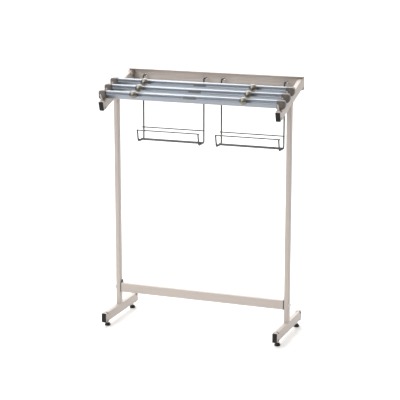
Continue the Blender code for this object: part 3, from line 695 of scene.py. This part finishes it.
def weld_bead(name, middle, right, up, size, radius=WELD_RADIUS):
    """A rippled bead round a tube of that width and height, as a curve of changing thickness."""
    points = []
    steps = 5
    for u_sign, v_sign, begin in ((1, 1, 0), (-1, 1, 90), (-1, -1, 180), (1, -1, 270)):
        for step in range(steps):
            angle = math.radians(begin + 90 * step / (steps - 1))
            u = u_sign * (size[0] / 2 - TUBE_CORNER) + TUBE_CORNER * math.cos(angle)
            v = v_sign * (size[1] / 2 - TUBE_CORNER) + TUBE_CORNER * math.sin(angle)
            points.append(Vector(middle) + Vector(right) * u + Vector(up) * v)
    path = []
    for here, ahead in zip(points, points[1:] + points[:1]):
        count = max(1, round((ahead - here).length / WELD_RIPPLE))
        path += [here.lerp(ahead, i / count) for i in range(count)]
    line = bpy.data.curves.new(name, "CURVE")
    line.dimensions = "3D"
    line.bevel_depth = radius
    line.bevel_resolution = 2
    spline = line.splines.new("POLY")
    spline.points.add(len(path) - 1)
    spline.use_cyclic_u = True
    for i, (point, spot) in enumerate(zip(spline.points, path)):
        point.co = (*spot, 1)
        point.radius = WELD_SWELL[i % 2]
    bead = bpy.data.objects.new(name, line)
    bpy.context.scene.collection.objects.link(bead)
    take(bead)
    bpy.ops.object.convert(target="MESH")
    finish(bpy.context.object, PAINT, "frame", "frame_paint", None, 60)


def frame_welds():
    """Beads where each upright meets its foot and its arm, and the crossbar its plates."""
    low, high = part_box("left_upright_tube")
    width, depth = high.x - low.x, high.y - low.y
    y = (low.y + high.y) / 2
    bar_low, bar_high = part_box("crossbar")
    bar_middle = (bar_low + bar_high) / 2
    bar_size = (bar_high.y - bar_low.y, bar_high.z - bar_low.z)
    for side_name, side in SIDES:
        x = side * HALF_SPACING
        top = (x, y, FOOT_HIGH.z)
        weld_bead(f"{side_name}_foot_weld", top, ACROSS, (0, 1, 0), (width, depth))
        under = (x, y, arm_top(y) - TUBE[1] / ARM_UP.z)
        slanted = (width, depth / ARM_UP.z)
        weld_bead(f"{side_name}_arm_weld", under, ACROSS, -ARM_FORWARD, slanted)
        end = (side * bar_high.x, bar_middle.y, bar_middle.z)
        name = f"crossbar_{side_name}_weld"
        weld_bead(name, end, (0, 1, 0), UP, bar_size, CROSSBAR_WELD_RADIUS)


# -------- threads, glides and bolts

def threaded_rod(name, radius, pitch, low, high, sides=24):
    """A screwed rod along Z: rings of points follow a helix in and out between root and crest."""
    per_turn = 6
    turns = (high - low) / pitch
    rod = start_rod(name, (0, 0, low), (0, 0, high), radius, sides)
    with editing(rod):
        pick_edges(lambda middle, along: abs(along.z) > 0.99)
        bpy.ops.mesh.subdivide(number_cuts=round(turns * per_turn) - 1)
    depth = THREAD_DEPTH * pitch
    for vertex in rod.data.vertices:
        flat = Vector((vertex.co.x, vertex.co.y))
        if flat.length < radius / 2:
            continue
        phase = ((vertex.co.z - low) / pitch - math.atan2(flat.y, flat.x) / (2 * math.pi)) % 1
        inward = depth * abs(2 * phase - 1)
        runout = min(vertex.co.z - low, high - vertex.co.z) / pitch
        inward = max(inward, depth * (1 - min(runout, 1)))
        vertex.co.xy = flat * (1 - inward / radius)
    return rod


def glide_pad_model():
    """A turned pad: a rim, a collar and a cone with a hole for the stud's foot."""
    low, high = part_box("left_front_glide_pad")
    radius, height = (high.x - low.x) / 2, high.z
    stud_low, stud_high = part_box("left_front_glide_stud")
    hole = (stud_high.x - stud_low.x) / 2 + GAP
    hole_floor = stud_low.z - GAP
    top = (radius + hole) / 2
    pad = start_rod("pad_model", (0, 0, 0), (0, 0, height * PAD_RIM), radius, 48)
    with editing(pad):
        pick_faces(lambda middle, normal: normal.z > 0.9)
        pull((0, 0, height * PAD_COLLAR))
        bevel(PAD_RIM_ROUND)
        pick_faces(lambda middle, normal: normal.z > 0.9)
        pull((0, 0, height * PAD_CONE))
        spread((top / radius, top / radius, 1), picked_middle())
        inset(top - hole - PAD_HOLE_LIP)
        pull((0, 0, hole_floor - height))
        pick_faces(lambda middle, normal: normal.z < -0.9 and middle.z < NEAR)
        bevel(PAD_FOOT_ROUND)
        pick_faces(lambda middle, normal: normal.z < -0.999 and middle.z < NEAR / 10)
        ring, wall, rise = PAD_TREAD
        inset(ring)
        inset(wall)
        pull((0, 0, rise))
    soften(pad, PAD_EDGE, 2, 40)
    return pad


def glides():
    """Levelling feet: a screwed stud and its pad under each end of each foot tube."""
    low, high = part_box("left_front_glide_stud")
    stud = threaded_rod("stud_model", (high.x - low.x) / 2, GLIDE_PITCH, low.z, high.z)
    pad = glide_pad_model()
    for side_name, _ in SIDES:
        for end in ENDS:
            name = f"{side_name}_{end}_glide"
            low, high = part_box(f"{name}_pad")
            spot = Matrix.Translation(((low.x + high.x) / 2, (low.y + high.y) / 2, 0))
            screwed = (ZINC, name, "zinc_steel", f"{name}_stud", 45)
            finished_copy(stud, f"{name}_screw", spot, *screwed)
            turned = (BLACK, f"{name}_pad", "black_plastic", f"{name}_pad")
            finished_copy(pad, f"{name}_foot", spot, *turned)
    put_away(stud)
    put_away(pad)


def bolt_model(head_radius, head_height, shank_radius, length):
    """A button-head bolt with a hexagon socket; its seat is at zero and Z points out."""
    seat = (0, 0, GAP)
    bolt = start_rod(
        "bolt_model", seat, (0, 0, GAP + head_height * BOLT_SEAT_SHARE), head_radius, 40
    )
    with editing(bolt):
        for rise, share in BOLT_DOME:
            pick_faces(lambda middle, normal: normal.z > 0.9)
            pull((0, 0, head_height * rise))
            turn_down(head_radius * share)
        pick_faces(lambda middle, normal: normal.z < -0.9)
        inset(head_radius - shank_radius)
        pull((0, 0, -length))
        bevel(BOLT_TIP_ROUND, 2)
    key_foot = (0, 0, GAP + head_height * BOLT_KEY_FLOOR)
    key_tip = (0, 0, head_height * 2)
    bore(bolt, start_rod("hexagon_key", key_foot, key_tip, head_radius * BOLT_KEY, 6))
    soften(bolt, BOLT_EDGE, 2, 40)
    return bolt


def bolts():
    for kind, (head_radius, head_height, shank) in BOLT_HEADS.items():
        low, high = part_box(f"{kind}_right_bolt")
        model = bolt_model(head_radius, head_height, shank, high.x - low.x - head_height - GAP)
        outward = 1 if kind == "crossbar" else -1
        material, slot = (ZINC, "zinc_steel") if kind == "crossbar" else (STEEL, "dark_steel")
        for side_name, side in SIDES:
            node = f"{kind}_{side_name}_bolt"
            low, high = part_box(node)
            way = side * outward
            seat = (high.x if way > 0 else low.x) - way * (head_height + GAP)
            spot = (seat, (low.y + high.y) / 2, (low.z + high.z) / 2)
            matrix = placing((0, way, 0), UP, (way, 0, 0), spot)
            finished_copy(model, f"{node}_body", matrix, material, "frame", slot, node)
        put_away(model)


# -------- crossbar and rail

def crossbar():
    bar = start_block("crossbar_skin", *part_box("crossbar"))
    open_tube(bar, ACROSS)
    finish(bar, PAINT, "frame", "frame_paint", "crossbar")


def crossbar_plates():
    """Plates that the crossbar is welded to, each with a tab behind that stands above it."""
    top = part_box("crossbar")[1].z
    for side_name, _ in SIDES:
        node = f"crossbar_{side_name}_plate"
        low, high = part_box(node)
        plate = start_block(f"{node}_steel", low, (high.x, high.y, top))
        tab = low.y + PLATE_FRONT
        with editing(plate):
            bpy.ops.mesh.bisect(plane_co=(0, tab, 0), plane_no=(0, 1, 0))
            pick_faces(lambda middle, normal: normal.z > 0.9 and middle.y > tab)
            pull((0, 0, high.z - top))
            pick_edges(lambda middle, along: abs(along.x) > 0.9 and middle.z > high.z - NEAR)
            bevel(PLATE_CORNER, 4)
        soften(plate, SHEET_EDGE, 2, 50)
        finish(plate, STEEL, "frame", "dark_steel", node)


def rear_rail():
    """A folded sheet channel with a slot for each wire of the trays."""
    low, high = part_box("rear_rail")
    rail = start_block("rear_rail_sheet", low, high)
    with editing(rail):
        pick_faces(lambda middle, normal: normal.y < -0.9 or abs(normal.x) > 0.9)
        bpy.ops.mesh.delete(type="ONLY_FACE")
        pick_edges(lambda middle, along: abs(along.x) > 0.9 and middle.y > high.y - NEAR)
        bevel(SHEET_BEND, 6)
    sheet = rail.modifiers.new("sheet", "SOLIDIFY")
    sheet.thickness = SHEET
    sheet.offset = -1
    sheet.use_even_offset = True
    apply_modifiers(rail)
    for side_name, _ in SIDES:
        z = PIVOTS[f"{side_name}_magazine_tray"].z
        for x in tray_wire_places(side_name):
            corner = (x - SLOT / 2, high.y - 2 * SHEET, z - SLOT / 2)
            far = (x + SLOT / 2, high.y + SHEET, z + SLOT / 2)
            cutter = start_block("slot_cutter", corner, far)
            with editing(cutter):
                pick_edges(lambda middle, along: abs(along.y) > 0.9)
                bevel(SLOT_CORNER, 4)
            bore(rail, cutter)
    soften(rail, SHEET_EDGE, 2, 50)
    finish(rail, PAINT, "frame", "frame_paint", "rear_rail", 30)


def rail_brackets():
    for side_name, _ in SIDES:
        node = f"rail_{side_name}_bracket"
        plate = start_block(f"{node}_plate", *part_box(node))
        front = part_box(node)[0].y
        with editing(plate):
            pick_edges(lambda middle, along: abs(along.x) > 0.9 and middle.y < front + NEAR)
            bevel(BRACKET_CORNER, 5)
        soften(plate, SHEET_EDGE, 2, 50)
        finish(plate, PAINT, "frame", "frame_paint", node)


# -------- holders

def between(first, second):
    """The shift from one holder's node to the same node of another holder."""
    return Matrix.Translation(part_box(second)[0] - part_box(first)[0])


def pick_front_edge(front, height):
    """Selects the lengthwise edge on a bar's front face at that height."""
    pick_edges(
        lambda middle, along: abs(along.x) > 0.9 and middle.y < front + NEAR
        and abs(middle.z - height) < NEAR
    )


def clamp_bar_model():
    """Front half of the clamp: a channel for labels above, a jaw that slopes back below."""
    low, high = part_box("front_holder_clamp_bar")
    waist = low.z + CLAMP_WAIST
    bar = start_block("clamp_bar_model", low, high)
    with editing(bar):
        bpy.ops.mesh.bisect(plane_co=(0, 0, waist), plane_no=(0, 0, 1))
        pick_front_edge(low.y, low.z)
        bpy.ops.transform.translate(value=(0, high.y - low.y - CLAMP_FOOT, 0))
        pick_front_edge(low.y, high.z)
        bevel(CLAMP_TOP_ROUND, 8)
        pick_front_edge(low.y, waist)
        bevel(CLAMP_WAIST_ROUND)
        pick_faces(lambda middle, normal: normal.y < -0.999 and middle.z > waist)
        inset(CHANNEL_LIP)
        inset(CHANNEL_WALL, -CHANNEL_DEPTH)
    soften(bar, BAR_EDGE, 2, 40)
    return bar


def back_bar_model():
    """Rear half of the clamp: rounded over the top, with a shallow channel down its back."""
    low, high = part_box("front_holder_back_bar")
    bar = start_block("back_bar_model", low, high)
    with editing(bar):
        pick_edges(lambda middle, along: abs(along.x) > 0.9 and middle.y > high.y - NEAR)
        bevel(SPINE_ROUND, 5)
        for way, (lip, wall, depth) in (((0, 1, 0), SPINE_CHANNEL), (UP, SPINE_GROOVE)):
            pick_faces(lambda middle, normal: normal.dot(Vector(way)) > 0.99)
            inset(lip)
            inset(wall, -depth)
    soften(bar, BAR_EDGE, 2, 40)
    return bar


def holder_cap_model():
    """Right-hand cap of the front holder: a grooved neck by the bar and a round outer end."""
    start_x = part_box("front_holder_back_bar")[1].x + GAP
    low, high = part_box("front_holder_right_cap")
    groove_at, groove_width, groove_depth = CAP_GROOVE
    cap = start_block(
        "holder_cap_model", (start_x, low.y, low.z), (start_x + groove_at, high.y, high.z)
    )
    y = (low.y + high.y) / 2
    z = (low.z + high.z) / 2
    size = Vector((high.y - low.y, high.z - low.z))
    with editing(cap):
        slice_off(ARM_REST + UP * GAP, -ARM_UP)
        pick_edges(lambda middle, along: abs(along.x) > 0.9)
        bevel(CAP_CORNER, 6)
        pick_faces(lambda middle, normal: normal.x > 0.9)
        left = Vector((1, 1)) - 2 * groove_depth * Vector((1 / size.x, 1 / size.y))
        middle = (0, y, z + CAP_GROOVE_LIFT)
        pull((CAP_GROOVE_WALL, 0, 0))
        spread((1, left.x, left.y), middle)
        pull((groove_width, 0, 0))
        pull((CAP_GROOVE_WALL, 0, 0))
        spread((1, 1 / left.x, 1 / left.y), middle)
        pull((high.x - CAP_END_ROUND - start_x - groove_at - groove_width, 0, 0))
        before = Vector((0, 0))
        for step in range(1, CAP_END_STEPS + 1):
            angle = math.radians(CAP_END_TURN * step / CAP_END_STEPS)
            now = Vector((math.sin(angle), 1 - math.cos(angle))) * CAP_END_ROUND
            pull((now.x - before.x, 0, 0))
            share = [(span - 2 * now.y) / (span - 2 * before.y) for span in size]
            spread((1, *share), middle)
            before = now
        inset(CAP_END_RIM)
        pick_faces(lambda middle, normal: normal.x < -0.9 and middle.x < start_x + NEAR)
        inset(CAP_SEAT_RIM)
    soften(cap, CAP_EDGE, 2, 60)
    return cap


def knob_model():
    """A plated ball on a waisted neck; Z points out of the clamp bar's face."""
    centre = KNOB_COLLAR + KNOB_RADIUS
    ball = start(
        "uv_sphere", "knob_model", segments=56, ring_count=36, radius=KNOB_RADIUS,
        location=(0, 0, centre),
    )
    seat = centre - math.sqrt(KNOB_RADIUS ** 2 - KNOB_COLLAR_RADIUS ** 2)
    with editing(ball):
        slice_off((0, 0, seat), (0, 0, -1))
        pick_faces(lambda middle, normal: normal.z < -0.99 and middle.z < seat + NEAR)
        for drop, radius in KNOB_TURNING:
            pull((0, 0, -drop))
            turn_down(radius)
        chamfer, share = KNOB_CHAMFER
        pull((0, 0, GAP + chamfer - picked_middle().z))
        pull((0, 0, -chamfer))
        spread((share, share, 1), (0, 0, 0))
    return ball


def label_model():
    """A blank strip with a raised rim, seated in the clamp bar's channel."""
    low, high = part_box("front_holder_label")
    depth = high.y - low.y
    strip = start_block("label_model", low, (high.x, high.y + GAP, high.z))
    with editing(strip):
        pick_edges(lambda middle, along: abs(along.y) > 0.9)
        bevel(LABEL_CORNER, 4)
        pick_faces(lambda middle, normal: normal.y < -0.9)
        inset(LABEL_RIM)
        inset(LABEL_WALL, -depth * LABEL_SUNK)
    soften(strip, LABEL_EDGE, 1, 40)
    return strip


def holders():
    """Three clamps that are alike: two bars and a label, and a cap, knob and stud at each end."""
    first = "front_holder"
    lengthwise = (
        (clamp_bar_model(), "jaw", "clamp_bar", "clamp", ALUMINIUM, "aluminium"),
        (back_bar_model(), "spine", "back_bar", "holder", ALUMINIUM, "aluminium"),
        (label_model(), "name_strip", "label", "clamp", LABEL, "label_strip"),
    )
    cap = holder_cap_model()
    knob = knob_model()
    reach = PIVOTS["front_left_knob"].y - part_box(f"{first}_left_knob")[1].y
    stud = threaded_rod("stud_model", STUD_RADIUS, STUD_PITCH, reach, GAP, 20)
    mirror = Matrix.Scale(-1, 4, ACROSS)
    for name in HOLDERS:
        holder = f"{name}_holder"
        for model, word, part, body, material, slot in lengthwise:
            shift = between(f"{first}_{part}", f"{holder}_{part}")
            made_of = (material, f"{name}_{body}", slot, f"{holder}_{part}")
            finished_copy(model, f"{holder}_{word}", shift, *made_of)
        shift = between(f"{first}_right_cap", f"{holder}_right_cap")
        for side_name, side in SIDES:
            node = f"{holder}_{side_name}_cap"
            matrix = shift if side > 0 else mirror @ shift
            made_of = (MOULDING, holder, "holder_plastic", node)
            finished_copy(cap, f"{node}_moulding", matrix, *made_of)
            body = f"{name}_{side_name}_knob"
            matrix = placing(ACROSS, UP, (0, -1, 0), PIVOTS[body])
            made_of = (NICKEL, body, "knob_metal", f"{holder}_{side_name}_knob")
            finished_copy(knob, f"{body}_ball", matrix, *made_of)
            finished_copy(stud, f"{body}_stud", matrix, ZINC, body, "zinc_steel", None, 45)
    for model in (*(row[0] for row in lengthwise), cap, knob, stud):
        put_away(model)


def prongs():
    """Round pins with domed tips, each in a small weld on the arm."""
    lean = Vector((0, -math.sin(PRONG_LEAN), math.cos(PRONG_LEAN)))
    for name in HOLDERS:
        for side_name, side in SIDES:
            node = f"{side_name}_{name}_prong"
            low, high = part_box(node)
            radius = (high.x - low.x) / 2
            foot_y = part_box(f"{name}_holder_{side_name}_cap")[0].y - PRONG_AHEAD
            foot_y -= radius / math.cos(PRONG_LEAN)
            foot = Vector((side * HALF_SPACING, foot_y, arm_top(foot_y) + GAP))
            tip = foot + lean * PRONG_LENGTH
            pin = start_rod(f"{node}_pin", foot - lean * radius * 2, tip, radius, 28)
            with editing(pin):
                slice_off((0, foot_y, foot.z), -ARM_UP)
                pick_faces(lambda middle, normal: normal.dot(lean) > 0.99)
                bevel(radius * PRONG_DOME, 5)
            finish(pin, PAINT, "frame", "frame_paint", node)
            turn = ARM_UP.to_track_quat("Z", "Y").to_euler()
            outward, thickness = PRONG_WELD
            ring = start(
                "torus", f"{node}_weld", major_segments=30, minor_segments=10,
                major_radius=radius + outward, minor_radius=thickness,
                location=foot - UP * GAP, rotation=turn,
            )
            finish(ring, PAINT, "frame", "frame_paint", None, 60)


# -------- magazine trays

def tray_wire_places(side_name):
    """Where a tray's two wires stand across the rack."""
    low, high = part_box(f"{side_name}_magazine_tray")
    return (low.x + TRAY_ROD_END, high.x - TRAY_ROD_END)


def bent_wire(name, x, corners, bends):
    """A disc drawn along each straight and spun round each bend."""
    corners = [Vector((x, *corner)) for corner in corners]
    run = (corners[1] - corners[0]).normalized()
    wire = start(
        "circle", name, vertices=20, radius=WIRE_RADIUS, fill_type="NGON",
        location=corners[0], rotation=run.to_track_quat("Z", "Y").to_euler(),
    )
    with editing(wire):
        bpy.ops.mesh.select_mode(type="FACE")
        at = corners[0] + run * WIRE_START
        pull(run * WIRE_START)
        for before, here, after, radius in zip(corners, corners[1:], corners[2:], bends):
            run_in = (here - before).normalized()
            run_out = (after - here).normalized()
            turn = run_in.angle(run_out)
            cut_off = radius * math.tan(turn / 2)
            inside = (run_out - run_in).normalized()
            centre = here + inside * (radius / math.cos(turn / 2))
            axis = run_in.cross(run_out).normalized()
            pull(here - run_in * cut_off - at)
            bpy.ops.mesh.spin(steps=8, angle=-turn, center=tuple(centre), axis=tuple(axis))
            at = here + run_out * cut_off
        pull(corners[-1] - at)
    return wire


def magazine_tray(side_name):
    """Two bent wires hooked through the rail, four rods across them and welds where they cross."""
    body = f"{side_name}_magazine_tray"
    pivot = PIVOTS[body]
    low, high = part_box(body)
    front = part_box("rear_rail")[0].y - WIRE_RADIUS - WIRE_CLEARANCE
    tail_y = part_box("rear_rail")[1].y + GAP + HOOK_BEND
    floor_z = low.z + WIRE_RADIUS
    lip_y = front - TRAY_FLOOR_DEPTH
    lip_way = Vector((-math.sin(TRAY_LIP_LEAN), math.cos(TRAY_LIP_LEAN)))
    lip_end = Vector((lip_y, floor_z)) + lip_way * TRAY_LIP
    corners = (
        (tail_y, pivot.z + TRAY_TAIL),
        (tail_y, pivot.z),
        (front, pivot.z),
        (front, floor_z),
        (lip_y, floor_z),
        tuple(lip_end),
    )
    bends = (HOOK_BEND, HOOK_BEND, WIRE_BEND, WIRE_BEND)
    wires = [
        bent_wire(f"{body}_wire_{i}", x, corners, bends)
        for i, x in enumerate(tray_wire_places(side_name))
    ]
    wires = join(f"{body}_wires", wires)
    soften(wires, WIRE_END_ROUND, 3, 60)
    finish(wires, WIRE, body, "coated_wire", body, 60)

    seat = WIRE_RADIUS + ROD_RADIUS - WELD_SINK
    lip_inward = Vector((lip_way.y, -lip_way.x))
    lip_rod = lip_end - Vector((0, ROD_RADIUS + WELD_SINK)) + lip_inward * seat
    rods = {
        "floor_back": (front - 2 * WIRE_BEND + ROD_RADIUS, floor_z + seat),
        "floor_front": (lip_y + 2 * WIRE_BEND - ROD_RADIUS, floor_z + seat),
        "lip": tuple(lip_rod),
        "back": (front - seat, floor_z + TRAY_LIP),
    }
    nuggets = []
    for name, (y, z) in rods.items():
        rod = start_rod(f"{body}_{name}_rod", (low.x, y, z), (high.x, y, z), ROD_RADIUS, 20)
        with editing(rod):
            pick_faces(lambda middle, normal: abs(normal.x) > 0.9)
            bevel(ROD_END_ROUND)
        finish(rod, WIRE, body, "coated_wire")
        for x in tray_wire_places(side_name):
            wire_at = Vector((y, floor_z)) if name.startswith("floor") else Vector((y + seat, z))
            if name == "lip":
                wire_at = Vector((y, z)) - lip_inward * seat
            touch = (wire_at + Vector((y, z))) / 2
            nuggets.append(
                start(
                    "uv_sphere", "nugget", segments=16, ring_count=10,
                    radius=NUGGET_RADIUS, location=(x, *touch), scale=NUGGET_SHAPE,
                )
            )
    spots = join(f"{body}_weld_spots", nuggets)
    finish(spots, WIRE, body, "coated_wire", None, 60)


# -------- stage

ROOM = {
    "below": (0.08, 0.09, 0.11, 1),
    "horizon": (0.25, 0.265, 0.29, 1),
    "overhead": (0.78, 0.765, 0.745, 1),
    "backdrop": (1.45, 1.43, 1.40, 1),
    "seen": (1, 1, 1, 1),
}
FLOOR = ((-7, -2.4, -0.02), (7, 14, -0.0002))
LENS = 126.2
EYE = (1.5395, -4.068, 1.4216)
EYE_DOWN, EYE_ROUND = math.radians(12.971), math.radians(20.796)
LAMPS = {  # place, aim, size and power
    "overhead_softbox": ((-0.9, 0.5, 3.4), (0, 0.1, 0.2), (3.6, 3.2), 68),
    "back_softbox": ((-1.0, 3.2, 2.9), (0, 0, 0.8), (4.5, 2.2), 80),
    "key_softbox": ((-2.2, -3.6, 2.2), (0, 0, 0.5), (1.8, 1.8), 68),
    "front_strip": ((-1.1, -1.5, 2.9), (0, 0, 0.8), (4.0, 1.3), 26),
    "back_wash": ((0.0, 9.0, 6.0), (0, 12.0, 0), (12.0, 8.0), 900),
}


def room():
    """A world that is dim towards the horizon, light overhead and white where it is seen."""
    world = bpy.data.worlds.new("soft_room")
    world.use_nodes = True
    bpy.context.scene.world = world
    tree = world.node_tree
    way = tree.nodes.new("ShaderNodeTexCoord")
    parts = tree.nodes.new("ShaderNodeSeparateXYZ")
    tree.links.new(way.outputs["Generated"], parts.inputs[0])

    def share(axis, low, high):
        """How far along an axis a direction points, from 0 at low to 1 at high."""
        span = tree.nodes.new("ShaderNodeMapRange")
        span.interpolation_type = "SMOOTHSTEP"
        span.inputs["From Min"].default_value = low
        span.inputs["From Max"].default_value = high
        tree.links.new(parts.outputs[axis], span.inputs["Value"])
        return span.outputs[0]

    def mixed(factor, first, second):
        mix = tree.nodes.new("ShaderNodeMix")
        mix.data_type = "RGBA"
        tree.links.new(factor, mix.inputs[0])
        for slot, value in ((6, first), (7, second)):
            if isinstance(value, tuple):
                mix.inputs[slot].default_value = value
            else:
                tree.links.new(value, mix.inputs[slot])
        return mix.outputs[2]

    walls = mixed(share("Z", -0.12, 0.10), ROOM["below"], ROOM["horizon"])
    walls = mixed(share("Z", 0.05, 0.75), walls, ROOM["overhead"])
    walls = mixed(share("Y", 0.45, 0.90), walls, ROOM["backdrop"])
    soft = tree.nodes["Background"]
    tree.links.new(walls, soft.inputs["Color"])
    seen = tree.nodes.new("ShaderNodeLightPath")
    white = tree.nodes.new("ShaderNodeBackground")
    white.inputs["Color"].default_value = ROOM["seen"]
    pick = tree.nodes.new("ShaderNodeMixShader")
    tree.links.new(seen.outputs["Is Camera Ray"], pick.inputs[0])
    tree.links.new(soft.outputs[0], pick.inputs[1])
    tree.links.new(white.outputs[0], pick.inputs[2])
    tree.links.new(pick.outputs[0], tree.nodes["World Output"].inputs["Surface"])


def stage():
    """A pale floor, the room round it and soft lamps."""
    floor = start_block("studio_floor", *FLOOR)
    floor.data.materials.append(plain_floor())
    bpy.context.scene.view_settings.view_transform = "Standard"
    room()
    for name, (place, aim, size, power) in LAMPS.items():
        light = bpy.data.lights.new(name, "AREA")
        light.shape = "RECTANGLE"
        light.size, light.size_y = size
        light.energy = power
        lamp = bpy.data.objects.new(name, light)
        lamp.location = place
        way = Vector(aim) - Vector(place)
        lamp.rotation_euler = way.to_track_quat("-Z", "Y").to_euler()
        bpy.context.scene.collection.objects.link(lamp)


def camera():
    """In front of the rack, to its right and a little above it."""
    lens = bpy.data.cameras.new("camera")
    lens.sensor_width = 36
    lens.lens = LENS
    lens.clip_end = 200
    eye = bpy.data.objects.new("camera", lens)
    eye.location = EYE
    eye.rotation_euler = (math.pi / 2 - EYE_DOWN, 0, EYE_ROUND)
    bpy.context.scene.collection.objects.link(eye)
    bpy.context.scene.camera = eye


# -------- the whole rack

camera()
stage()
for side_name, side in SIDES:
    foot_tube(side_name)
    upright_tube(side_name)
    arm_tube(side_name, side)
end_caps()
frame_welds()
glides()
bolts()
crossbar()
crossbar_plates()
rear_rail()
rail_brackets()
holders()
prongs()
magazine_tray("left")
magazine_tray("right")
